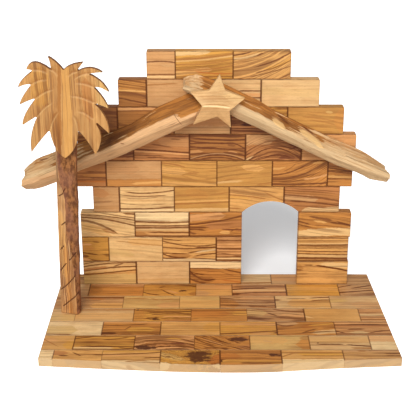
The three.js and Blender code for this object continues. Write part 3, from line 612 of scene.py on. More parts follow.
            Streak(-12.5, -12.8, 0.6, 5.8, (-28, 28), "tan", 0.6), Streak(9, 9.5, 0.6, strength=0.4))),
        Look("umber", 0.55, 3.6, 0.8, arch=8, arch_at=4, joint=1.0, streaks=(
            Streak(9, 9, 6, ends=(-30, 2), tone="tan", strength=0.8),
            Streak(-6, -4, 0.7, 12, strength=0.8), Streak(-9, -8, 0.5, 12, (-29, 28), strength=0.6),
            Streak(-13, -13, 0.8, 12.5, (-26, 28), "line", 1),
            Streak(-12.5, -12.5, 0.8, 10, (-23, 27), "brown", 0.5),
            Streak(-14, -14, 1.0, 9.5, (-20, 26), "dark", 1),
            Streak(-14.5, -14.5, 0.9, 6.5, (-13, 24), "line", 1),
            Streak(-13, -11, 2.4, 2, (4, 29), "plum", 0.8),
            Streak(-14, -9, 1, ends=(-29, -20), tone="pale", strength=0.7),
            Streak(-3, 2, 0.9, ends=(14, 29), tone="line"))),
        Look("rose", 0.2, 5, 0.6, joint=0.3, streaks=(Streak(-7, -8, 0.6, ends=(-29, 0), strength=0.3),)),
    ],
    [
        Look("dark", 0.5, 5, 1.5, joint=0.9),
        Look("brown", 0.4, 6, 0.8, joint=0.6, streaks=(
            Streak(-4, -6, 1.6, ends=(-29, -16), tone="dark", strength=0.7),
            Streak(13, 13, 1.6, tone="rose"), Streak(10.8, 11, 0.7, tone="dark"),
            Streak(2, 2, 5, tone="brown"))),
        # block 7_3: darkened to tan as painted shade, for the shadow under the star
        Look("tan", 0.12, 5, 0.5, joint=0.9, streaks=(
            Streak(-2, -2, 4, tone="umber", strength=0.6), Streak(-7.5, -7, 0.6, strength=0.35))),
        Look("umber", 0.5, 3.4, 0.6, joint=0.8, streaks=(
            Streak(-1, -2, 0.8, ends=(-30, -8)), Streak(-3.5, -5, 0.7, ends=(-30, -3)),
            Streak(-5, -6, 0.6, ends=(-30, -10)), Streak(-4, -5.5, 1.3, ends=(-19, -7), tone="knot"),
            Streak(-8.5, -9, 0.6, ends=(-30, 0)), Streak(-10.5, -12.5, 0.8, ends=(-30, 8)),
            Streak(11, 9, 5, ends=(6, 30), tone="gold"), Streak(13, 13, 0.7, ends=(10, 30)))),
        Look("ochre", 0.2, 6, 1.2, -4, joint=0.3, streaks=(
            Streak(0, 2, 13, ends=(18, 34), tone="orange", strength=0.6),
            Streak(5, -2, 0.9, 1, (-18, 25), "brown", 0.6), Streak(1, -6, 0.8, 1, (-10, 25), "brown", 0.6),
            Streak(9, 6, 0.6, ends=(-25, 5), strength=0.3),
            Streak(10, 9, 1.5, ends=(10, 18), tone="straw", strength=0.5))),
    ],
    [
        Look("brown", 0.45, 5, 0.8, -8, joint=1.0, streaks=(
            Streak(9, 8, 5, tone="amber", strength=0.7), Streak(15, 11, 0.9, ends=(-13, 15), strength=0.7),
            Streak(3.2, 1.5, 1.0, 0.6, tone="honey"), Streak(1.5, -4, 1.2, 1.5, tone="dark"),
            Streak(-5, -11, 0.8), Streak(8, 5, 0.7, strength=0.4))),
        Look("tan", 0.06, 6, 0.6, joint=0.6, streaks=(
            Streak(12.5, 14, 2, ends=(-12, 6), tone="tan", strength=0.8),
            Streak(8.7, 10.5, 0.8, 0.3, (-30, 6), "brown", 0.8), Streak(15, 14.5, 0.7, tone="rose"),
            Streak(-2, -1, 0.8, ends=(-25, 0), tone="tan", strength=0.4))),
        Look("beige", 0.1, 6, 0.5, joint=1.0, streaks=(
            Streak(2.3, 2.4, 0.7, ends=(3, 30)), Streak(-4.7, -4.8, 0.7, ends=(12, 30)),
            Streak(-2, -2, 2, tone="rose"))),
        Look("beige", 0.04, 6, 0.5, joint=0.3, streaks=(Streak(3, 0, 4, tone="straw", strength=0.3),)),
    ],
    [
        Look("tan", 0.15, 6, 0.8, joint=0.7, streaks=(
            Streak(0, 0, 15, tone="rose", strength=0.45), Streak(3, 3, 0.7, 1.2),
            Streak(1.5, 0, 1.4, -1, (-3, 14), "tan"), Streak(-10.2, -10, 0.8, tone="dark"),
            Streak(-12.5, -12.5, 1, tone="pale"))),
        Look("gold", 0.25, 5, 1.0, 6, joint=0.7, streaks=(
            Streak(12, 14, 2.4, ends=(-30, 8), tone="pale"),
            Streak(-9, -4, 3, ends=(-30, 10), tone="honey"),
            Streak(6, 12, 0.9, -1, (-28, 30), "brown", 0.8),
            Streak(0.5, 6, 0.7, -1.5, (-29, 30), "brown", 0.75),
            Streak(-5.5, -0.5, 0.9, -1.5, (-29, 30), "brown", 0.85),
            Streak(-6, -8.5, 0.8, -1.5, (-12, 30), "rust"), Streak(4, 10, 0.8, -1, (-28, 30), "pale", 0.5),
            Streak(-2.5, 3, 0.5, -1, strength=0.4), Streak(-13, -12, 0.9, tone="dark", strength=0.7))),
        Look("honey", 0.3, 4.4, 1.0, 12, -5, -20, joint=0.3, streaks=(
            Streak(10.5, 15, 0.8, -0.5, (-30, -8)), Streak(6, 14.5, 0.8, -1.5, (-30, 6)),
            Streak(3, 12, 0.5, -2, (-30, 16), strength=0.5), Streak(-2.5, 12.5, 0.8, -1.8, (-10, 28)),
            Streak(3, 12, 0.9, -0.5, (10, 26), "dark"),
            Streak(-8.5, 5, 0.7, -1.8, (-10, 29), strength=0.7),
            Streak(-13, -1, 0.7, -1, (-16, 29), strength=0.7), Streak(-14, -8, 1.0, -1, (16, 30), "dark"),
            Streak(-6, -2, 0.7, -0.8, (-28, 4), strength=0.4),
            Streak(7, 14, 1.2, -1.5, (-28, 0), "pale", 0.6), Streak(-4, 6, 2, -2, (0, 29), "gold", 0.7))),
    ],
]


def middle_of(low, high):
    return tuple((a + b) / 2 for a, b in zip(low, high))


def middle_of_face(low, high, face):
    """Middle of the face that is seen: a block's top on the base, its front elsewhere."""
    x, y, z = middle_of(low, high)
    return (x, y, high[2]) if face == ON_BASE else (x, low[1], z)


def dress(obj, materials):
    """Gives the object these materials; the faces keep their material numbers."""
    numbers = [face.material_index for face in obj.data.polygons]
    obj.data.materials.clear()
    for material in materials:
        obj.data.materials.append(material)
    obj.data.polygons.foreach_set("material_index", numbers)


def dress_wall():
    for course, looks in enumerate(WALL_LOOKS, start=1):
        left_joint = FREE_END
        for block, look in enumerate(looks, start=1):
            node = f"course_{course}_block_{block}"
            seed = 100 * course + block
            wood = olive_wood(f"wood_{node}", look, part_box(node), ON_WALL, seed, left_joint)
            dress(frame["nodes"][node], [wood])
            left_joint = look.joint


# Glue in the joints of the wall and the seams of the base: thin bars between the blocks, set back from
# their faces, all in millimetres

GLUE_THICKNESS = 0.26
GLUE_RECESS = 0.8
GLUE_END = 0.5  # how far a bar stops short of the blocks' corners
BASE_GLUE_END = 1.5
BASE_GLUE_PLAY = 0.02
NEAR = 1  # blocks less than this apart are glued
ARCH_MARGIN = 5


def add_bar(body, low, high):
    """A closed box between two corners in millimetres."""
    middle = (Vector(low) + Vector(high)) / 2
    size = Vector(high) - Vector(low)
    bar = bmesh.ops.create_cube(body, size=1.0)
    bmesh.ops.scale(body, vec=size * MM, verts=bar["verts"])
    bmesh.ops.translate(body, vec=middle * MM, verts=bar["verts"])


def millimetre_box(node):
    low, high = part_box(node)
    return Vector(low) / MM, Vector(high) / MM


def end_foot(node):
    """Height of the foot of a block's right end: over the arch, where the doorway cuts the block."""
    corners = [vertex.co / MM for vertex in frame["nodes"][node].data.vertices]
    right = max(corner.x for corner in corners)
    return min(corner.z for corner in corners if right - corner.x < NEAR)


def wall_glue(body):
    """Bars in the upright joints of each course and in the seams between the courses."""
    half = GLUE_THICKNESS / 2
    courses = []
    for course, looks in enumerate(WALL_LOOKS, start=1):
        nodes = [f"course_{course}_block_{block + 1}" for block in range(len(looks))]
        blocks = [millimetre_box(node) for node in nodes]
        front = blocks[0][0].y + GLUE_RECESS
        back = blocks[0][1].y - GLUE_RECESS
        for node, (_, high), (next_low, _) in zip(nodes, blocks, blocks[1:]):
            if next_low.x - high.x < NEAR:
                joint = (high.x + next_low.x) / 2
                foot = end_foot(node) + GLUE_END
                add_bar(body, (joint - half, front, foot), (joint + half, back, high.z - GLUE_END))
        courses.append(blocks)
    for lower, upper in zip(courses, courses[1:]):
        for low, high in lower:
            for upper_low, upper_high in upper:
                start = max(low.x, upper_low.x) + GLUE_END
                end = min(high.x, upper_high.x) - GLUE_END
                if end - start > NEAR and not spans_doorway(high.z, start, end):
                    seam = (high.z + upper_low.z) / 2
                    add_bar(body, (start, front, seam - half), (end, back, seam + half))


def spans_doorway(height, start, end):
    """Whether a seam would hang in the arch, where the blocks above are cut away."""
    openings = {opening["name"]: opening["box_m"] for opening in frame["record"]["physics"]["openings"]}
    low, high = (Vector(corner) / MM for corner in openings["doorway"])
    return height > high.z - ARCH_MARGIN and start < high.x and end > low.x and start > low.x - ARCH_MARGIN


def base_glue(body):
    """Bars in the seams between the strips."""
    strips = [millimetre_box(f"base_strip_{strip + 1}") for strip in range(len(BASE_LOOKS))]
    bottom = strips[0][0].z + GLUE_RECESS
    top = strips[0][1].z - GLUE_RECESS
    for (low, high), (_, next_high) in zip(strips, strips[1:]):
        seam = (low.y + next_high.y) / 2
        half = (low.y - next_high.y) / 2 - BASE_GLUE_PLAY
        start, end = low.x + BASE_GLUE_END, high.x - BASE_GLUE_END
        add_bar(body, (start, seam - half, bottom), (end, seam + half, top))


def make_glue():
    body = bmesh.new()
    wall_glue(body)
    base_glue(body)
    mesh = bpy.data.meshes.new("glue")
    body.to_mesh(mesh)
    body.free()
    piece = new_piece("joint_glue", mesh)
    tree = Tree("joint_glue")
    place = tree.grain_place((0, 0, 0), GRAIN_TURN[ON_WALL])
    blotches = tree.noise(place, (0.08, 0.08, 0.08), 3.0)
    colour = tree.blend(tree.span(blotches, 0.35, 0.65), tone("line", 0.5), tone("line", 1.0))
    dress(piece, [tree.finish(colour, tree.span(blotches, 0.3, 0.7, 0.45, 0.75), blotches, 0.05)])


# Base: each strip is cut from its CAD solid at the joints of its blocks, from the back to the front.
# Heights in the looks run from the front of the block (below) to its back (above).

BASE_JOINTS = [
    [-140, -80, -20, 60, 100],
    [-145.4, -84.6, -25.7, 14.8, 75.4, 134.3],
    [-104.9, -43.3, 0.9, 61.2, 121.4],
    [-153.4, -91.4, -30.1, 29.5, 90.8, 149.4],
    [-121.8, -61.3, 0.4, 59.4, 120],
    [-147.5, -86.4, -25.8, 30.4, 90.6, 151.8],
    [-165.2, -116.6, -59, -0.1, 60.6, 121.9],
]
BASE_LOOKS = [
    [
        Look("honey", 0.49),
        Look("pale", 0.39),
        Look("amber", 0.45, wave=2.0),
        Look("beige", 0.29, wave=1.5, streaks=(Streak(-11, -9, 2, ends=(-5, 38), tone="brown"),)),
        Look("rose", 0.24, streaks=(Streak(-9, -9, 4, ends=(-20, 20), tone="tan"),)),
        Look("tan", 0.45, 4.5, 1.0, 4),
    ],
    [
        Look("beige", 0.19, joint=0.7, streaks=(Streak(0, 0, 12, ends=(5, 17), tone="tan", strength=0.7),)),
        Look("orange", 0.34, 5, 0.8, joint=0.3, streaks=(
            Streak(11, 11, 3, tone="rose"), Streak(0, 0, 9, ends=(-30, -14), tone="brown", strength=0.5),
            Streak(5.5, 5, 0.8, tone="brown", strength=0.8),
            Streak(-8, -8.5, 0.6, ends=(-15, 8), strength=0.5))),
        Look("gold", 0.39, 6, 1.6, joint=0.3, knots=((14, -2, 4, 1.6),), streaks=(
            Streak(-5.5, -12, 1.1, -1.5, (-29, -8)), Streak(5, -15, 1.3, -1.5, (-13, 9)),
            Streak(4, 9, 1.1, 1, (-13, -5)), Streak(12, 8, 1.0, 1.5, (8, 30)),
            Streak(-9, -9, 4, ends=(20, 30), tone="brown", strength=0.8),
            Streak(2, -10, 2.5, ends=(-8, 14), tone="rose", strength=0.6))),
        Look("honey", 0.19, joint=0.6, streaks=(
            Streak(-8, -8, 6, ends=(-20, -3), tone="tan", strength=0.7),
            Streak(8, 8, 6, tone="rose", strength=0.5))),
        Look("rose", 0.39, 7, 0.8, joint=1.0, streaks=(
            Streak(-12, -12, 5, tone="umber", strength=0.7), Streak(1, 4, 1.3, 1.5, (-30, 12), "line", 1),
            Streak(-8.5, -5.2, 1.1, 1, (-28, 29), "line", 1), Streak(-11, -10, 1.5, ends=(-29, -20)),
            Streak(-2, -1, 1.5, 1, tone="pale", strength=0.6))),
        Look("gold", 0.21, joint=0.6, streaks=(
            Streak(13, 13, 0.8, ends=(-25, 5), tone="brown", strength=0.6),
            Streak(4, 2, 5, tone="honey", strength=0.5))),
        Look("tan", 0.39, 5.0, 0.8, 6, streaks=(
            Streak(7, 14, 1.0, ends=(-18, 0)), Streak(3, 12, 1.3, ends=(-8, 18)),
            Streak(-6.5, -0.5, 1.3, ends=(-18, 18)), Streak(0, 6, 0.8, ends=(-6, 18), strength=0.6))),
    ],
    [
        Look("tan", 0.34, 5.0, 0.8, joint=0.3, streaks=(
            Streak(-8, -8, 6, ends=(0, 38), tone="honey"),
            Streak(11, 11, 1.6, ends=(-12, 38), tone="dark", strength=1),
            Streak(4.5, 4, 0.9, ends=(-12, 15), strength=0.6),
            Streak(8, 7, 1.5, ends=(-5, 20), tone="rust", strength=0.6))),
        Look("straw", 0.21, 6.0, 1.2, joint=0.3, streaks=(
            Streak(6.5, 9, 0.9, 1, (-31, -1), "brown"), Streak(9, 4, 0.9, 0.5, (-2, 9), "brown"),
            Streak(4, 8.5, 0.9, 0, (9, 25), "brown"),
            Streak(-8, -6, 6, ends=(5, 31), tone="rose", strength=0.7))),
        Look("straw", 0.15, joint=0.6, streaks=(Streak(-4, -4, 8, tone="honey", strength=0.6),)),
        Look("tan", 0.45, 4.0, 1.8, joint=0.8, streaks=(
            Streak(-2, -6, 9, ends=(-30, -8), tone="orange", strength=0.7),
            Streak(9, 8, 1.1, ends=(-30, -12), strength=0.8), Streak(-7, -7, 1.3, ends=(-30, -3)),
            Streak(-8, -8, 2.2, -2, (-2, 24), "dark"),
            Streak(9, 8, 4, ends=(-10, 28), tone="rose", strength=0.7),
            Streak(-12, -13, 1.2, 1, (0, 30), "brown"), Streak(2, 1, 0.8, 1, (2, 28), strength=0.6))),
        Look("pale", 0.29, joint=0.5, streaks=(
            Streak(-2, -3, 9, ends=(-18, 30), tone="honey"),
            Streak(9, 11.5, 1.3, ends=(6, 29), tone="dark"), Streak(1.5, 5, 1.3, 1, (6, 29), "dark"),
            Streak(8, 8, 0.9, ends=(-20, 8), strength=0.7),
            Streak(5, 5, 2.2, ends=(-31, -22), tone="dark", strength=0.8))),
        Look("beige", 0.17, 6.0, 1.4, streaks=(
            Streak(-6, -6, 7, ends=(-5, 26), tone="rose", strength=0.5),
            Streak(3, 4, 4, ends=(-26, -6), tone="straw"))),
    ],
    [
        Look("beige", 0.19, joint=0.2, streaks=(Streak(-6, -6, 7, tone="straw", strength=0.6),)),
        Look("beige", 0.17, joint=0.5, streaks=(
            Streak(11.5, 11.5, 1.6, tone="brown", strength=0.7),
            Streak(-3, -3, 7, tone="honey", strength=0.5))),
        Look("gold", 0.7, 4.0, 2.2, joint=0.3, knots=((-6, -9, 4, 1.5), (-27, 11, 2.6, 1.2)), streaks=(
            Streak(0, 0, 14, ends=(-30, -18), tone="amber", strength=0.7),
            Streak(8, 7, 0.9, -1, (-20, 30)), Streak(0, 0.5, 1.2, 2, (-15, 30), "dark"),
            Streak(-9, -4, 1.2, 1, (-20, -2)), Streak(-7, -7, 1.0, 0, (-5, 30), "dark"),
            Streak(-4, -4, 1.2, 0.5, (-2, 28), "rose"), Streak(4, 4, 0.8, 1.5, (-18, 24), strength=0.7),
            Streak(-12, -12, 2.5, ends=(0, 30), tone="umber"))),
        Look("amber", 0.39, 5.0, 1.0, joint=0.2, streaks=(
            Streak(3, 3, 7, ends=(-29, 12), tone="rust", strength=0.45),
            Streak(-9, -5.5, 1.0, 0, (-29, -18), "brown"), Streak(-5.5, -6, 0.8, 0.5, (-18, 4), "brown"),
            Streak(4, 3, 5, ends=(12, 29), tone="gold", strength=0.8))),
        Look("tan", 0.45, 4.5, 1.6, -6, joint=0.9, streaks=(
            Streak(14, 7, 1.5, -2, (-5, 30), "dark"), Streak(5, -2, 1.3, 0, (-10, 2)),
            Streak(-5, -9, 1.6, 0, (-2, 31), "dark"), Streak(-7, -9, 1.2, 0, (-30, 0)),
            Streak(-1, -3, 3, ends=(2, 28), tone="rose", strength=0.8),
            Streak(5, 4, 7, ends=(-31, -8), tone="straw", strength=0.6))),
        Look("honey", 0.17, joint=0.5, streaks=(Streak(-3, -8, 1.0, 0, (-29, -18), "pale"),)),
        Look("rose", 0.34, 4.4, 0.5, streaks=(
            Streak(5, 6, 0.7, strength=0.6), Streak(-9.5, -9.5, 0.9, tone="brown"),
            Streak(0, 0, 3, tone="beige"))),
    ],
    [
        Look("cream", 0.15, joint=0.6, streaks=(
            Streak(-4, -4, 9, ends=(-29, 4), tone="straw", strength=0.7),
            Streak(-12, -12.8, 1.1, 0, (-28, 2), "dark"))),
        Look("orange", 0.44, 5.0, 1.0, joint=0.7, streaks=(
            Streak(-4, -3, 6, ends=(-6, 26), tone="gold"), Streak(6.5, 10, 0.9, -1.5, (-28, 20)),
            Streak(-4, 5, 0.9, 0, (-8, 0)), Streak(-10.5, -10.5, 2.6, ends=(-30, -13), tone="knot"),
            Streak(-11.5, -12, 0.9, ends=(-13, 4)), Streak(-9, -13, 0.9, ends=(14, 28), strength=0.7),
            Streak(12, 12, 1.6, tone="rose", strength=0.7))),
        Look("honey", 0.17, joint=0.5, streaks=(
            Streak(2, 2, 10, ends=(12, 30), tone="gold", strength=0.6),)),
        Look("gold", 0.24, 4.0, 0.8, joint=0.9, streaks=(
            Streak(9, 9, 3, tone="rose", strength=0.7), Streak(-11.5, -5.5, 1.3, -0.3, (-29, 28), "dark"),
            Streak(-2, -1, 1.4, tone="amber", strength=0.6), Streak(-9, -9, 2, ends=(25, 30), tone="dark"),
            Streak(-12, -11, 3, ends=(0, 26), tone="rose", strength=0.6))),
        Look("orange", 0.44, 6.0, 1.6, 6, joint=0.5, streaks=(
            Streak(10, 10, 4, ends=(-30, -6), tone="tan"), Streak(8.5, 9.5, 1.3, -3.5, (-30, -7), "dark"),
            Streak(-11.5, 0.5, 1.3, 0.5, (-8, 14), "dark"), Streak(0.5, 1.5, 0.8, 0, (14, 30)),
            Streak(-10, -6, 4, ends=(4, 30), tone="beige", strength=0.9),
            Streak(3, 6, 4, ends=(-6, 10), tone="rust", strength=0.6),
            Streak(5, 10, 1, ends=(0, 28), tone="gold"))),
        Look("rose", 0.39, 6.0, 0.8, streaks=(
            Streak(5, 5, 2.6, tone="umber"), Streak(8, 8, 1.0, 0, (-18, 22)),
            Streak(-2, -1, 1.6, 0, (-18, 4), "dark"), Streak(-6, -11, 1.1, 0, (-28, -17)),
            Streak(-11, -4, 1.3, 1.5, (3, 27), "dark"), Streak(-9, -9, 3, ends=(-15, 6), tone="pale"),
            Streak(12.5, 12.5, 0.7, strength=0.5))),
    ],
    [
        Look("honey", 0.24, 7.0, 1.0, joint=0.7, streaks=(
            Streak(-5, -5, 8, ends=(4, 16), tone="gold"), Streak(6, -11, 0.9, 0, (-15, 4), "brown"),
            Streak(4, 4, 5, ends=(-16, 0), tone="rose", strength=0.6))),
        Look("gold", 0.49, 5.0, 1.0, joint=0.6, streaks=(
            Streak(3, 2, 4, tone="orange", strength=0.5), Streak(8.5, 12.5, 0.9, 0, (-28, -8)),
            Streak(5.5, 11.5, 0.9, -1, (-5, 27)), Streak(-7, -7, 1.0, 0, (-27, 12)),
            Streak(-8, -11, 0.9, -1.5, (12, 29)),
            Streak(-11, -11, 2.4, ends=(-28, 12), tone="pale", strength=0.8),
            Streak(13, 13, 0.8, tone="dark", strength=0.7))),
        Look("rose", 0.49, 5.0, 1.0, arch=5, joint=0.3, knots=((-19, -10, 7, 2.2),), streaks=(
            Streak(-2, -8, 4.5, 3, (-22, 28), "umber"), Streak(3, -4, 0.9, 3.5, (-25, 28)),
            Streak(-1, -9, 1.2, 3, (-20, 28), "dark"), Streak(11, 2, 1.0, 1, (0, 28)),
            Streak(-2, -5, 1.6, 2, (4, 24), "plum"), Streak(-12, -13, 1.8, 0, (-10, 27), "dark"),
            Streak(-6, -12, 0.9, 2.5, (-12, 27)), Streak(8, 6, 1.2, 1, (0, 20), "gold"))),
        Look("orange", 0.8, 4.0, 1.6, -26, joint=0.6, knots=((18, 6, 7, 2.2),), streaks=(
            Streak(13, -9, 1.1, 0, (-24, 4)), Streak(6, -11, 1.0, 0, (-26, -4)),
            Streak(15, -3, 1.0, 0, (-16, 12)), Streak(13, 0, 1.8, 0, (2, 20), "dark"),
            Streak(-8, -9, 5, ends=(14, 28), tone="umber", strength=0.8),
            Streak(-11, -13, 1.2, 1, (-22, 10)), Streak(9, -6, 1.0, 0, (-22, 4), "rose", 0.7))),
        Look("straw", 0.24, 7.0, 1.4, joint=0.6, streaks=(
            Streak(5, 4, 7, ends=(-30, 10), tone="honey", strength=0.6),
            Streak(-4, -4, 10, ends=(16, 30), tone="orange"), Streak(3, 0, 1.0, 1, (-18, -6), "tan"),
            Streak(9, 9, 4, ends=(20, 30), tone="brown", strength=0.6))),
        Look("beige", 0.21, 5.0, 0.8, joint=0.6, knots=((-22, -1, 1.8, 1),), streaks=(
            Streak(5, 5, 6, tone="honey", strength=0.5), Streak(-3.5, -3.5, 1.1, 0, (-27, 6)),
            Streak(-3.5, -7.5, 1.2, 0, (4, 29)), Streak(-10, -11, 1.5, 0, (8, 29), "brown"),
            Streak(-6, -7, 1, 0, (-26, 10), "tan"))),
        Look("cream", 0.14, streaks=(Streak(8, 8, 6, tone="rose", strength=0.8),)),
    ],
    [
        Look("cream", 0.15, joint=0.5, streaks=(Streak(-12, -12, 4, tone="rose", strength=0.7),)),
        Look("honey", 0.39, 6.0, 1.6, joint=0.2, streaks=(
            Streak(8, 8, 4, ends=(-24, -8), tone="umber"), Streak(10, 2, 1.0, 0, (-7, 5)),
            Streak(4, 3, 1.0, 0, (-20, -8)), Streak(6, 5, 0.9, 0, (12, 24)),
            Streak(-4, -6, 2.4, ends=(-14, 2), tone="tan"),
            Streak(-10, -10, 3.5, tone="rose", strength=0.7))),
        Look("honey", 0.29, 5.0, 1.0, joint=0.7, streaks=(
            Streak(11, 12, 2, tone="gold", strength=0.7), Streak(5, 9.5, 0.9, -1, (-29, 29)),
            Streak(-2, 0, 0.9, 0, (8, 29)), Streak(-8, -8, 2.2, tone="cream"),
            Streak(-8.5, -7, 0.9, 1, (-8, 20), "brown"), Streak(-12.5, -12, 1.4, 0, (-12, 10), "brown"),
            Streak(3, 4, 1.6, 0, tone="rose", strength=0.6))),
        Look("gold", 0.44, 4.0, 1.6, joint=1.0, knots=((8, 2, 18, 1.0),), streaks=(
            Streak(2, 0, 12, ends=(17, 31), tone="rust"), Streak(-12, -12, 4, tone="cream", strength=0.8),
            Streak(6, 4, 5, ends=(-28, -4), tone="straw", strength=0.6))),
        Look("orange", 0.44, 6.0, 0.8, joint=0.8, knots=((24, 4, 4.5, 2.2), (-30, -7, 3, 1)), streaks=(
            Streak(10, 10, 2.8, tone="dark", strength=0.5),
            Streak(2, 2, 5, ends=(-30, -8), tone="rust", strength=0.6),
            Streak(-10.5, -10.5, 1.4, 0, (-13, 25), "dark"), Streak(-7, -9, 3, tone="gold", strength=0.6))),
        Look("honey", 0.24, 7.0, 0.8, joint=0.6, streaks=(
            Streak(6, 6, 3, ends=(-16, 30), tone="gold"), Streak(1, 8, 0.9, 1, (-30, -14), "brown"),
            Streak(3, 3, 0.7, ends=(-14, 30), strength=0.5),
            Streak(-8, -8, 4.5, tone="cream", strength=0.8), Streak(9.5, 9.5, 0.9, tone="brown"))),
        Look("tan", 0.34, 5.0, 0.8, streaks=(
            Streak(4, 4, 6, tone="honey", strength=0.6), Streak(7, 7, 1.0, 0, (9, 28)),
            Streak(3, 3, 0.9, ends=(9, 28), strength=0.7), Streak(-6, -2, 1.0, 0, (-6, 28), "brown"),
            Streak(-9, -8, 3, ends=(-28, 6), tone="rose"), Streak(12, 12, 1.2, 0, (-15, -4), "brown"))),
    ],
]
JOINT_GAP = 0.12
BLOCK_EASE = 0.12
FLAT_ANGLE = math.radians(0.5)
SHARP_ANGLE = math.radians(30)


def tidy_bmesh(mesh):
    """The CAD mesh with its split corners joined and its flat faces whole."""
    body = bmesh.new()
    body.from_mesh(mesh)
    bmesh.ops.remove_doubles(body, verts=body.verts, dist=1e-6)
    bmesh.ops.dissolve_limit(body, angle_limit=FLAT_ANGLE, verts=body.verts, edges=body.edges)
    return body


def cut_off(body, x, side):
    """Cuts away what lies beyond x on that side, and closes the cut."""
    everything = body.verts[:] + body.edges[:] + body.faces[:]
    place, outward = (x, 0, 0), (side, 0, 0)
    bmesh.ops.bisect_plane(body, geom=everything, plane_co=place, plane_no=outward, clear_outer=True)
    bmesh.ops.holes_fill(body, edges=[edge for edge in body.edges if edge.is_boundary], sides=0)


def ease_edges(body, width):
    sharp = [edge for edge in body.edges if edge.is_manifold and edge.calc_face_angle() > SHARP_ANGLE]
    bmesh.ops.bevel(body, geom=sharp, offset=width, segments=1, affect="EDGES", clamp_overlap=True)


def new_piece(name, mesh):
    piece = bpy.data.objects.new(name, mesh)
    bpy.context.scene.collection.objects.link(piece)
    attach(piece, "root")
    return piece


def base_strip(strip, joints, looks):
    node = f"base_strip_{strip}"
    low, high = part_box(node)
    ends = [low.x - MM] + [joint * MM for joint in joints] + [high.x + MM]
    whole = bmesh.new()
    woods = []
    left_joint = FREE_END
    for block, look in enumerate(looks):
        left, right = ends[block], ends[block + 1]
        body = tidy_bmesh(frame["nodes"][node].data)
        cut_off(body, left + JOINT_GAP * MM / 2, -1)
        cut_off(body, right - JOINT_GAP * MM / 2, 1)
        ease_edges(body, BLOCK_EASE * MM)
        for face in body.faces:
            face.material_index = block
        part = bpy.data.meshes.new("part")
        body.to_mesh(part)
        body.free()
        whole.from_mesh(part)
        bpy.data.meshes.remove(part)
        box = ((max(left, low.x), low.y, low.z), (min(right, high.x), high.y, high.z))
        name = f"wood_{node}_{block + 1}"
        woods.append(olive_wood(name, look, box, ON_BASE, 2000 + 100 * strip + block, left_joint))
        left_joint = look.joint
    mesh = bpy.data.meshes.new(f"{node}_blocks")
    whole.to_mesh(mesh)
    whole.free()
    piece = new_piece(f"{node}_blocks", mesh)
    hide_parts(node)
    dress(piece, woods)


def make_base():
    for strip, (joints, looks) in enumerate(zip(BASE_JOINTS, BASE_LOOKS), start=1):
        base_strip(strip, joints, looks)


# Carved and split pieces


def fine_copy(node, name, voxel):
    """A new piece in the shape of a CAD node, with an even fine mesh that can be carved."""
    body = tidy_bmesh(frame["nodes"][node].data)
    mesh = bpy.data.meshes.new(name)
    body.to_mesh(mesh)
    body.free()
    rough = bpy.data.objects.new("rough", mesh)
    bpy.context.scene.collection.objects.link(rough)
    remesh = rough.modifiers.new("remesh", "REMESH")
    remesh.mode = "VOXEL"
    remesh.voxel_size = voxel * MM
    graph = bpy.context.evaluated_depsgraph_get()
    fine = bpy.data.meshes.new_from_object(rough.evaluated_get(graph))
    bpy.data.objects.remove(rough)
    fine.name = name
    piece = new_piece(name, fine)
    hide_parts(node)
    return piece


def carve(piece, depth_at):
    """Moves each point inwards by depth_at(point, normal) millimetres."""
    mesh = piece.data
    moves = [depth_at(vertex.co / MM, vertex.normal) for vertex in mesh.vertices]
    normals = [vertex.normal.copy() for vertex in mesh.vertices]
    for vertex, normal, depth in zip(mesh.vertices, normals, moves):
        vertex.co -= normal * (depth * MM)
    mesh.update()


def paint(piece, name, value_at):
    """Keeps value_at(point, normal) on each point for the material."""
    layer = piece.data.attributes.new(name, "FLOAT", "POINT")
    for vertex, slot in zip(piece.data.vertices, layer.data):
        slot.value = value_at(vertex.co / MM, vertex.normal)


def smooth(piece):
    for polygon in piece.data.polygons:
        polygon.use_smooth = True


def step(value, low, high):
    """0 below low, 1 above high, smooth between; low may be the larger."""
    share = min(1.0, max(0.0, (value - low) / (high - low)))
    return share * share * (3 - 2 * share)


def on_line(line, x):
    """Height of a broken line at x."""
    for (x0, z0), (x1, z1) in zip(line, line[1:]):
        if x <= x1:
            break
    return z0 + (z1 - z0) * (x - x0) / (x1 - x0)


def fibres(point, direction, length, width, seed):
    """Noise from -1 to 1, drawn out along a direction."""
    along = point.dot(direction)
    across = point - direction * along
    place = across / width + direction * (along / length)
    return noise.noise(place + Vector((seed, -seed, seed / 2)))


# Roof beams

WALL_FACE = 73.0
BEAM_VOXEL = 0.9
BEAM_REACH = 200.0  # more than half a beam's length
SPLIT_FIBRE_SCALE = (0.05, 0.9, 0.9)
SPLIT_STREAK_SCALE = (0.014, 0.22, 0.22)
SPLIT_STREAK_SPAN = (0.38, 0.62)
SPLIT_EDGE_SCALE = (0.04, 0.3, 0.3)
CRACK_SCALE = (0.03, 0.5, 0.6)
CRACK_SPAN = (0.64, 0.72)
CRACK_DARKNESS = 0.5
CRACK_DEPTH = -0.8
SPLIT_ROUGHNESS = (0.6, 0.8)
SPLIT_DEPTH = 0.35


@dataclass
class Beam:
    """A split branch. Edges and shares are given along X; the marks are streaks along the branch."""

    slope: float  # degrees, rising to the right
    seed: float
    ridge: list  # X and height of the front's upper edge
    edge: list  # the same under the front's bright strip
    wood: str  # tone of the bright strip and of the face under it
    # dark bark, on the left beam partly a painted shadow of the palm crown
    dark_bark_and_shade: list  # X and share: how dark the outer face is
    bareness: list  # X and share: where the outer face is split down to pale wood
    strip: float  # shades of the bright strip and of the face under it
    under: float
    marks: tuple


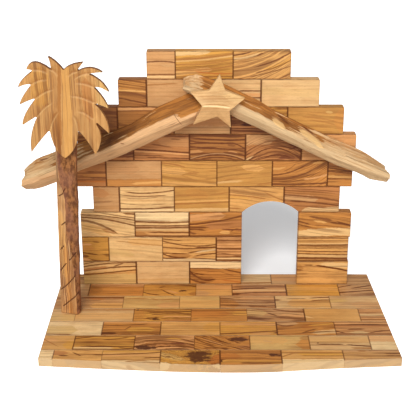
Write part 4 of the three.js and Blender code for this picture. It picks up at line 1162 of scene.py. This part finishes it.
BEAMS = {
    "left_roof_beam": Beam(
        24.4, 3.0, strip=0.98, under=0.84, wood="peach",
        ridge=[(-212, 144), (-190, 149.8), (-124.8, 177.2), (-62.2, 211.1), (-45, 217.4), (-40, 213.8),
               (12, 236)],
        edge=[(-212, 138), (-199, 141.5), (-172, 152.3), (-114, 178), (-93, 186), (-72, 196.6), (12, 232)],
        # dark bark, and round X -115 a painted shadow of the palm crown
        dark_bark_and_shade=[(-212, 0.3), (-160, 0.25), (-135, 0.4), (-115, 1), (-95, 0.8), (-60, 0.2), (2, 0.1)],
        bareness=[(-212, 1), (-195, 0.8), (-165, 0.55), (-140, 0.25), (-50, 0), (2, 0)],
        marks=(
            # painted shadow in the notch where the bulging ridge strip ends
            Streak(2.5, -3.5, 1.6, ends=(67.2, 68.4), tone="line"),
            Streak(1.5, -0.5, 0.7, ends=(2.5, 6), tone="dark"),
            Streak(14.5, 12.5, 0.5, ends=(-92, -78), tone="dark"),
            Streak(18, 16.5, 0.5, ends=(-84, -66), tone="dark", strength=0.8),
            Streak(22, 21, 0.7, ends=(10, 70), tone="dark", strength=0.5),
            Streak(16, 15, 0.6, ends=(30, 88), tone="dark", strength=0.4),
            Streak(0.5, -1.5, 0.4, ends=(-96, -72), tone="brown", strength=0.7))),
    "right_roof_beam": Beam(
        -25.1, 11.0, strip=0.84, under=0.78, wood="bone",
        ridge=[(-39, 247.6), (-20, 243.4), (17.6, 229.7), (41.4, 217.7), (69.7, 200.8), (92.6, 187.8),
               (126, 172.9), (182, 151.4)],
        edge=[(-39, 245), (-20, 238.5), (17.6, 221), (70, 194.5), (120, 169.5), (182, 146)],
        dark_bark_and_shade=[(-39, 0.2), (0, 0.15), (50, 0.35), (90, 0.5), (182, 0.2)],
        bareness=[(-39, 1), (-22, 1), (-15, 0), (40, 0.1), (70, 0.3), (100, 0.55), (130, 1), (182, 1)],
        marks=(
            Streak(5.5, 2.5, 1.8, ends=(-22, -3), tone="pale"),
            Streak(9, 5.5, 0.7, ends=(-18, 1), tone="line"),
            Streak(5, 0.5, 1.9, 0.5, (10, 42), "pale"), Streak(8, 5.5, 0.6, ends=(12, 32), tone="line"),
            Streak(9, 11, 0.6, ends=(-60, -30), tone="dark", strength=0.6),
            Streak(12, 9, 0.7, ends=(-30, 30), tone="dark", strength=0.6),
            Streak(6, 9, 0.5, ends=(40, 100), tone="brown", strength=0.6),
            Streak(-1, 1, 0.5, ends=(50, 104), tone="brown", strength=0.5))),
}


def split_beam(node, beam):
    piece = fine_copy(node, f"{node}_split", BEAM_VOXEL)
    angle = math.radians(beam.slope)
    direction = Vector((math.cos(angle), 0, math.sin(angle)))

    def depth(point, normal):
        free = step(WALL_FACE - point.y, 0.6, 3.0)
        coarse = 0.5 + 0.5 * fibres(point, direction, 22, 4.0, beam.seed)
        fine = 0.5 + 0.5 * fibres(point, direction, 9, 1.3, beam.seed + 9)
        torn = step(abs(normal.dot(direction)), 0.5, 0.9)
        chips = step(fibres(point, direction, 9, 5, beam.seed + 2), 0.25, 0.55)
        return free * (0.45 * coarse + 0.25 * fine + 1.2 * torn * coarse + 0.35 * chips)

    paint(piece, "over_ridge", lambda point, normal: point.z - on_line(beam.ridge, point.x))
    paint(piece, "over_edge", lambda point, normal: point.z - on_line(beam.edge, point.x))
    # dark bark, on the left beam partly a painted shadow of the palm crown
    paint(piece, "dark_bark_and_shade", lambda point, normal: on_line(beam.dark_bark_and_shade, point.x))
    paint(piece, "bareness", lambda point, normal: on_line(beam.bareness, point.x))
    carve(piece, depth)
    smooth(piece)
    dress(piece, [split_wood(f"wood_{node}", node, beam)])


def split_wood(name, node, beam):
    """Rough split wood: a brown outer face over a pale strip, with drawn-out fibres, marks and cracks; part
    of the outer face's darkness and one mark are painted shadow.
    """
    tree = Tree(name)
    grain = tree.grain_place(middle_of(*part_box(node)), (0.0, -math.radians(beam.slope), 0.0))
    along, _, across = tree.split(grain)
    fibre = tree.noise(grain, SPLIT_FIBRE_SCALE, 4.0, 0.65)
    streak = tree.span(tree.noise(grain, SPLIT_STREAK_SCALE, 3.0, 0.6), *SPLIT_STREAK_SPAN)
    ragged = tree.maths("SUBTRACT", tree.noise(grain, SPLIT_EDGE_SCALE, 3.0), 0.5)
    light = tree.blend(streak, tone("brown", 0.9), tone("orange", 0.95))
    dark = tree.blend(streak, tone("dark", 0.7), tone("brown", 0.85))
    # the outer face: dark bark, on the left beam partly a painted shadow of the palm crown
    outer = tree.blend(tree.attribute("dark_bark_and_shade"), light, dark)
    bare = tree.blend(streak, tone("tan", 0.95), tone("bone"))
    bareness = tree.maths("MULTIPLY_ADD", ragged, 2.4, tree.attribute("bareness"))
    outer = tree.blend(tree.span(bareness, 0.4, 0.6), outer, bare)
    strip = tree.blend(streak, tone(beam.wood, 0.9 * beam.strip), tone(beam.wood, 1.06 * beam.strip))
    under = tree.blend(streak, tone(beam.wood, 0.88 * beam.under), tone(beam.wood, 1.06 * beam.under))
    over_edge = tree.maths("MULTIPLY_ADD", ragged, 4.0, tree.attribute("over_edge"))
    colour = tree.blend(tree.span(over_edge, -0.5, 0.5), under, strip)
    over_ridge = tree.maths("MULTIPLY_ADD", ragged, 5.0, tree.attribute("over_ridge"))
    colour = tree.blend(tree.span(over_ridge, -0.4, 0.6), colour, outer)
    for mark in beam.marks:
        share = streak_share(tree, along, across, ragged, mark, BEAM_REACH)
        colour = tree.blend(share, colour, tone(mark.tone))
    colour = tree.tint(colour, fibre, (0.68, 0.64, 0.6), (1.28, 1.3, 1.32))
    cracks = tree.noise(tree.vector_maths("ADD", grain, (beam.seed,) * 3), CRACK_SCALE, 2.0)
    cracks = tree.span(cracks, *CRACK_SPAN)
    colour = tree.blend(tree.maths("MULTIPLY", cracks, CRACK_DARKNESS), colour, tone("dark", 0.9))
    height = tree.maths("MULTIPLY_ADD", cracks, CRACK_DEPTH, fibre)
    roughness = tree.span(fibre, *FIBRE_SPAN, *SPLIT_ROUGHNESS)
    return tree.finish(colour, roughness, height, SPLIT_DEPTH)


def make_beams():
    for node, beam in BEAMS.items():
        split_beam(node, beam)


# Star

STAR_VOXEL = 0.55
STAR_CUT = 0.08


def make_star():
    """The hand-cut star: soft edges, faint tool marks, level grain, and painted highlights and shade on its
    facets.
    """
    piece = fine_copy("gable_star", "gable_star_cut", STAR_VOXEL)
    across = Vector((1, 0, 0))
    carve(piece, lambda point, normal: STAR_CUT + STAR_CUT * fibres(point, across, 8, 2.5, 4.0))
    smooth(piece)
    look = Look("beige", 0.1, 3.0, 0.8, 2, streaks=(
        # painted highlight on the right arm's upper facet
        Streak(8, 5, 3.0, ends=(4, 26), tone="pale", strength=0.8),
        # painted shade on the lower legs, whose facets face down
        Streak(-14, -15, 9, tone="tan", strength=0.5),
        # painted highlight along the ridge across the star (cream), with painted shade in the brown lines
        # just above and below it
        Streak(-3.6, -5.7, 0.9, 1.5, (-19, 16), "cream", 1.0),
        Streak(-1.9, -3.9, 0.7, 1.5, (-18, 15), "brown", 0.6),
        Streak(-5.6, -7.7, 0.6, 1.5, (-18, 15), "brown", 0.45),
        Streak(7.6, 7.4, 0.6, ends=(-24, 18), tone="brown", strength=0.45),
        Streak(4.8, 5.2, 0.6, ends=(-21, 26), tone="brown", strength=0.5),
        Streak(1.6, 1.4, 0.5, ends=(-18, 20), tone="brown", strength=0.4),
        Streak(11.0, 10.5, 0.6, ends=(-28, 10), tone="brown", strength=0.3)))
    dress(piece, [olive_wood("wood_star", look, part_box("gable_star"), ON_WALL, 71)])


# Palm crown. Each groove runs along the upper edge of a frond, from its root to the notch beside it,
# in millimetres from the middle of the crown.

CROWN_CENTRE = Vector((-152.5, 0, 239))
FROND_EDGES = [
    ((12, 29), (25.8, 34.3)),
    ((12, 25), (30.2, 21.1)),
    ((6.3, 12.5), (28, 6.3)),
    ((13, -3), (26.5, -9.6)),
    ((9, -7), (12.9, -22.3)),
    ((-5, -3), (-14.9, -22.3)),
    ((-10, 6), (-25.6, -7.5)),
    ((-8, 19), (-25.9, 10.3)),
    ((-14, 28.5), (-29.5, 24)),
    ((-13, 34.5), (-26.7, 37.8)),
    ((-4, 32), (-9.8, 38.1)),
    ((6, 31), (13.9, 35.9)),
]
CROWN_VOXEL = 0.6
FROND_STEP = 1.5  # depth of a groove
FROND_SLOPE = 8.0  # how far it runs out above its edge
FROND_BOW = 1.2
CROWN_FIBRE_SCALE = (0.06, 1.0, 1.0)
CROWN_SHIFT = (90.0, 15.0, 40.0)
CROWN_HALF = 51.0
CROWN_TINT = (0.93, 0.89, 0.72, 1)
# strengths of the painted shade in the recesses, the painted highlight on the fronds' upper edges and the
# dark sawn edges
RECESS_SHADE, RIM_HIGHLIGHT, SAWN_DARKNESS = 0.45, 0.24, 0.85
CROWN_ROUGHNESS = (0.5, 0.65)
CROWN_DEPTH = 0.12


def frond_relief(point):
    """How deep the crown's face is cut at a point, deepest just above a frond's upper edge, and how near the
    point is to that edge, from 0 to 1."""
    place = Vector((point.x - CROWN_CENTRE.x, point.z - CROWN_CENTRE.z))
    deepest = rim_highlight = 0.0
    for root, notch in FROND_EDGES:
        start, end = Vector(root), Vector(notch)
        run = end - start
        share = (place - start).dot(run) / run.length_squared
        if not -0.1 < share < 1.25:
            continue
        side = Vector((-run.y, run.x)).normalized()
        if side.y < 0:
            side = -side
        bow = FROND_BOW * math.sin(math.pi * min(1.0, max(0.0, share)))
        above = (place - start).dot(side) - bow
        fade = step(share, -0.1, 0.35) * step(share, 1.25, 1.05)
        if 0 <= above <= FROND_SLOPE:
            deepest = max(deepest, fade * (1 - above / FROND_SLOPE) ** 1.5)
        # nearness to the frond's upper edge: the share of its painted highlight
        rim_highlight = max(rim_highlight, fade * step(abs(above + 0.6), 1.2, 0.3))
    return FROND_STEP * deepest, rim_highlight


def make_crown():
    piece = fine_copy("palm_crown", "palm_crown_carved", CROWN_VOXEL)
    upright = Vector((0, 0, 1))

    def depth(point, normal):
        front = step(-normal.y, 0.3, 0.8)
        saw = 0.1 * fibres(point, upright, 12, 1.6, 6.0)
        return front * (0.15 + saw + frond_relief(point)[0])

    # share of painted shade in the recesses, deepest just above a frond's upper edge
    paint(piece, "recess_shade", lambda point, normal: frond_relief(point)[0] / FROND_STEP)
    # painted highlight along the fronds' upper edges
    paint(piece, "rim_highlight", lambda point, normal: frond_relief(point)[1])
    paint(piece, "sawn", lambda point, normal: step(normal.z, 0.1, 0.5) * step(abs(normal.y), 0.85, 0.6))
    carve(piece, depth)
    smooth(piece)
    dress(piece, [crown_wood()])


def crown_wood():
    """Sawn board with upright grain: painted shade in the recesses, a painted highlight on the fronds'
    upper edges, and dark on the edges that the saw left."""
    tree = Tree("wood_crown")
    grain = tree.grain_place(middle_of_face(*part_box("palm_crown"), UPRIGHT), GRAIN_TURN[UPRIGHT])
    look = Look("tan", 0.32, 4.6, 0.6, streaks=(
        Streak(24, 22, 9, ends=(0, 42), tone="gold", strength=0.4),
        Streak(-37, -37, 6, ends=(-5, 42), tone="pale", strength=0.6),
        Streak(-24, -21, 4.5, ends=(-14, 31), tone="umber", strength=0.7),
        Streak(8.5, 8, 4, ends=(-44, -2), tone="brown", strength=0.6),
        Streak(-0.9, -4.3, 4.6, tone="honey", strength=0.5),
        Streak(7.8, 2.7, 1.7, tone="brown", strength=0.8),
        Streak(3.6, 0.4, 0.4, ends=(-30, 30), strength=0.4), Streak(-7, -9.5, 0.5, strength=0.25)))
    colour, _, height = wood_colour(tree, grain, look, CROWN_SHIFT, CROWN_HALF)
    along, deep, _ = tree.split(grain)
    fibre = tree.noise(tree.join(along, deep, height), CROWN_FIBRE_SCALE, 3.0, 0.6)
    colour = tree.blend(1.0, colour, CROWN_TINT, "MULTIPLY")
    # painted shade in the recesses
    recess_shade = tree.span(tree.attribute("recess_shade"), 0.1, 1.0, 0.0, RECESS_SHADE)
    # painted highlight on the fronds' upper edges
    rim_highlight = tree.maths("MULTIPLY", tree.attribute("rim_highlight"), RIM_HIGHLIGHT)
    sawn = tree.maths("MULTIPLY", tree.attribute("sawn"), SAWN_DARKNESS)
    for share, wood in ((recess_shade, tone("brown", 0.85)), (rim_highlight, tone("pale")), (sawn, tone("dark", 0.9))):
        colour = tree.blend(share, colour, wood)
    colour = tree.tint(colour, fibre, (0.8, 0.78, 0.74), (1.18, 1.19, 1.21))
    roughness = tree.span(fibre, *FIBRE_SPAN, *CROWN_ROUGHNESS)
    return tree.finish(colour, roughness, fibre, CROWN_DEPTH)


# Palm trunk

TRUNK_FOOT_X = -159.3
TRUNK_TOP_X = -153.0
TRUNK_FOOT_Z = 9.0
TRUNK_TOP_Z = 246.0
TRUNK_VOXEL = 0.7
TRUNK_SHIFT = (140.0, 35.0, 60.0)
TRUNK_HALF = 120.0
FLAKE_SCALE = (0.16, 0.32, 0.32)
FLAKE_SPAN = (0.36, 0.62)
FLAKE_DEPTH = 1.5
RED_SCALE = (0.03, 0.08, 0.08)
RED_SPAN = (0.4, 0.6)
RED_SHARE = 0.45
RED_BARK = (0.26, 0.105, 0.065, 1)
TRUNK_FIBRE_SCALE = (0.08, 1.5, 1.5)
TRUNK_ROUGHNESS = (0.58, 0.85)
TRUNK_RELIEF = 0.3
# Where the bark starts, as height above the base and distance from the trunk's middle
BARK_EDGE = [(0, 8), (50, 5.7), (81, 1.7), (100, -1.7), (132, -1.7), (143, -3.8), (149, -7), (176, -8),
             (240, -8)]
# Saw cuts across the front: left end and right end, each as distance from the middle and height
TRUNK_CUTS = [
    ((-7.3, 8.6), (10.5, 26)),
    ((-9.9, 27.7), (-3.9, 33)),
    ((-3.9, 33), (1, 38.9)),
    ((1, 38.9), (6.4, 46)),
    ((-9.2, 50.6), (-3.2, 59.3)),
    ((0.6, 63.9), (8.1, 72)),
    ((-8.4, 74.8), (-5.1, 79.4)),
    ((-6.5, 103.1), (-2.2, 107.6)),
    ((-8.5, 135.2), (-4.3, 138.4)),
    ((-4.3, 138.4), (-1.1, 143.9)),
]
CUT_WIDTH = 0.9
CUT_DEPTH = 0.9


def trunk_middle(z):
    share = (z - TRUNK_FOOT_Z) / (TRUNK_TOP_Z - TRUNK_FOOT_Z)
    return TRUNK_FOOT_X + (TRUNK_TOP_X - TRUNK_FOOT_X) * share


def bark_share(point, _):
    """1 on bark, 0 on bare wood."""
    height = point.z - TRUNK_FOOT_Z
    across = point.x - trunk_middle(point.z)
    ragged = 1.1 * noise.noise(Vector((point.x / 3, point.y / 3, point.z / 7)))
    return step(across + ragged - on_line(BARK_EDGE, height), -0.7, 0.9)


def cut_depth(point, normal):
    """How deep a saw cut is at a point of the trunk's front."""
    if normal.y > -0.2:
        return 0.0
    place = Vector((point.x - trunk_middle(point.z), point.z - TRUNK_FOOT_Z))
    deepest = 0.0
    for left, right in TRUNK_CUTS:
        start, end = Vector(left), Vector(right)
        run = end - start
        share = min(1.0, max(0.0, (place - start).dot(run) / run.length_squared))
        away = (place - start - run * share).length
        deepest = max(deepest, 1 - away / CUT_WIDTH)
    return deepest


def make_trunk():
    piece = fine_copy("palm_trunk", "palm_trunk_split", TRUNK_VOXEL)
    upright = Vector((0, 0, 1))

    def depth(point, normal):
        bark = bark_share(point, normal)
        lumps = 0.5 + 0.5 * noise.fractal(Vector((point.x / 5, point.y / 5, point.z / 9)), 0.8, 2.0, 3)
        flakes = 0.5 + 0.5 * fibres(point, upright, 5, 1.8, 2.0)
        bare = 0.5 + 0.5 * fibres(point, upright, 14, 1.5, 8.0)
        end = step(abs(normal.z), 0.9, 0.6)
        return end * (bark * (0.5 * lumps + 0.3 * flakes) + (1 - bark) * (0.4 + 0.3 * bare)
                      + CUT_DEPTH * cut_depth(point, normal))

    paint(piece, "bark", bark_share)
    paint(piece, "cut", cut_depth)
    carve(piece, depth)
    smooth(piece)
    dress(piece, [trunk_wood()])


def trunk_wood():
    """Reddish flaking bark on one side, bare grooved wood on the other, dark in the saw cuts."""
    tree = Tree("wood_trunk")
    centre = (trunk_middle(120) * MM, 9 * MM, 120 * MM)
    grain = tree.grain_place(centre, GRAIN_TURN[UPRIGHT])
    look = Look("tan", 0.75, 3.4, 1.6, -1.4, streaks=(
        Streak(4, 6, 4, ends=(-70, 10), tone="honey", strength=0.7),
        Streak(0, 2, 3, ends=(-125, -30), tone="orange", strength=0.6)))
    bare, _, _ = wood_colour(tree, grain, look, TRUNK_SHIFT, TRUNK_HALF)
    flakes = tree.noise(grain, FLAKE_SCALE, 4.0, 0.65)
    bark = tree.blend(tree.span(flakes, *FLAKE_SPAN), tone("dark", 0.55), tone("umber", 0.72))
    red = tree.noise(grain, RED_SCALE, 2.0)
    bark = tree.blend(tree.span(red, *RED_SPAN, 0.0, RED_SHARE), bark, RED_BARK)
    colour = tree.blend(tree.span(tree.attribute("bark"), 0.3, 0.7), bare, bark)
    colour = tree.blend(tree.span(tree.attribute("cut"), 0.1, 0.5, 0.0, 0.85), colour, tone("line", 0.6))
    fibre = tree.noise(grain, TRUNK_FIBRE_SCALE, 3.0, 0.6)
    colour = tree.tint(colour, fibre, (0.75, 0.72, 0.7), (1.2, 1.22, 1.24))
    height = tree.maths("MULTIPLY_ADD", flakes, FLAKE_DEPTH, fibre)
    roughness = tree.span(tree.attribute("bark"), 0.2, 0.8, *TRUNK_ROUGHNESS)
    return tree.finish(colour, roughness, height, TRUNK_RELIEF)


# Dowels keep their CAD shape


def dress_dowels():
    for index, node in enumerate(sorted(frame["nodes"])):
        if node.endswith("_dowel"):
            upright = node in ("left_wall_dowel", "right_wall_dowel", "palm_dowel")
            face = UPRIGHT if upright else ON_BASE
            wood = olive_wood(f"wood_{node}", Look("cream", 0.1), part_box(node), face, 900 + index)
            dress(frame["nodes"][node], [wood])


# Stage, lights and camera, in metres

FLOOR_HALF = 4.0
FLOOR_DROP = 0.2 * MM
FLOOR_WHITE = (0.95, 0.95, 0.95, 1)
# The floor's glow is painted light: full away from the stable, where it lightens its shadow, and weaker
# round this place behind the doorway, on a plan stretched along X, so the shadow seen through the doorway
# stays
GLOW_STRETCH = (2.2, 1.0, 1.0)
GLOW_PLACE = (0.13, 0.2, 0.0)
GLOW_NEAR, GLOW_FAR = 0.12, 0.32
GLOW_WEAK, GLOW_FULL = 0.1, 0.85
FILL_COLOUR = (0.97, 0.98, 1.0, 1)
FILL_STRENGTH = 0.4
LAMP_AIM = (0.0, 0.0, 0.1)
CAMERA_PLACE = (-0.010, -0.918, 0.510)
CAMERA_TILT = math.radians(67.53)
CAMERA_LENS = 83.57
SENSOR_WIDTH = 36.0


def make_floor():
    """White floor with painted light: a glow that only the camera sees, which lightens the object's shadow
    on it except behind the doorway.
    """
    mesh = bpy.data.meshes.new("floor")
    corners = [(-1, -1), (1, -1), (1, 1), (-1, 1)]
    mesh.from_pydata([(x * FLOOR_HALF, y * FLOOR_HALF, -FLOOR_DROP) for x, y in corners], [], [(0, 1, 2, 3)])
    floor = bpy.data.objects.new("floor", mesh)
    bpy.context.scene.collection.objects.link(floor)
    tree = Tree("floor_paper")
    tree.nodes.remove(tree.shader)
    diffuse = tree.nodes.new("ShaderNodeBsdfDiffuse")
    diffuse.inputs["Color"].default_value = FLOOR_WHITE
    glow = tree.nodes.new("ShaderNodeEmission")
    seen = tree.nodes.new("ShaderNodeLightPath").outputs["Is Camera Ray"]
    place = tree.nodes.new("ShaderNodeTexCoord").outputs["Object"]
    away = tree.vector_maths("DISTANCE", tree.vector_maths("MULTIPLY", place, GLOW_STRETCH), GLOW_PLACE)
    strength = tree.span(away, GLOW_NEAR, GLOW_FAR, GLOW_WEAK, GLOW_FULL)
    tree.feed(glow.inputs["Strength"], tree.maths("MULTIPLY", seen, strength))
    both = tree.nodes.new("ShaderNodeAddShader")
    tree.links.new(diffuse.outputs[0], both.inputs[0])
    tree.links.new(glow.outputs[0], both.inputs[1])
    tree.links.new(both.outputs[0], tree.nodes["Material Output"].inputs["Surface"])
    floor.data.materials.append(tree.material)


def make_world():
    world = bpy.data.worlds.new("studio")
    bpy.context.scene.world = world
    world.use_nodes = True
    nodes, links = world.node_tree.nodes, world.node_tree.links
    nodes.clear()
    path = nodes.new("ShaderNodeLightPath")
    fill = nodes.new("ShaderNodeBackground")
    fill.inputs["Color"].default_value = FILL_COLOUR
    fill.inputs["Strength"].default_value = FILL_STRENGTH
    white = nodes.new("ShaderNodeBackground")
    white.inputs["Color"].default_value = (1, 1, 1, 1)
    white.inputs["Strength"].default_value = 1.0
    mix = nodes.new("ShaderNodeMixShader")
    out = nodes.new("ShaderNodeOutputWorld")
    links.new(path.outputs["Is Camera Ray"], mix.inputs[0])
    links.new(fill.outputs[0], mix.inputs[1])
    links.new(white.outputs[0], mix.inputs[2])
    links.new(mix.outputs[0], out.inputs[0])


def add_light(name, place, size, power):
    data = bpy.data.lights.new(name, "AREA")
    data.shape = "DISK"
    data.size = size
    data.energy = power
    light = bpy.data.objects.new(name, data)
    bpy.context.scene.collection.objects.link(light)
    light.location = place
    light.rotation_euler = (Vector(LAMP_AIM) - Vector(place)).to_track_quat("-Z", "Y").to_euler()


def make_camera():
    """The photograph's camera, fitted to the joints between the blocks."""
    data = bpy.data.cameras.new("camera")
    data.sensor_width = SENSOR_WIDTH
    data.lens = CAMERA_LENS
    camera = bpy.data.objects.new("camera", data)
    bpy.context.scene.collection.objects.link(camera)
    camera.location = CAMERA_PLACE
    camera.rotation_euler = (CAMERA_TILT, 0.0, 0.0)
    bpy.context.scene.camera = camera


dress_wall()
make_base()
make_glue()
make_beams()
make_star()
make_crown()
make_trunk()
dress_dowels()
make_floor()
make_world()
add_light("key", (-0.6, -2.9, 2.5), size=1.6, power=112.0)
add_light("fill", (1.3, -1.4, 1.2), size=1.4, power=9.0)
make_camera()
bpy.context.scene.view_settings.view_transform = "Standard"
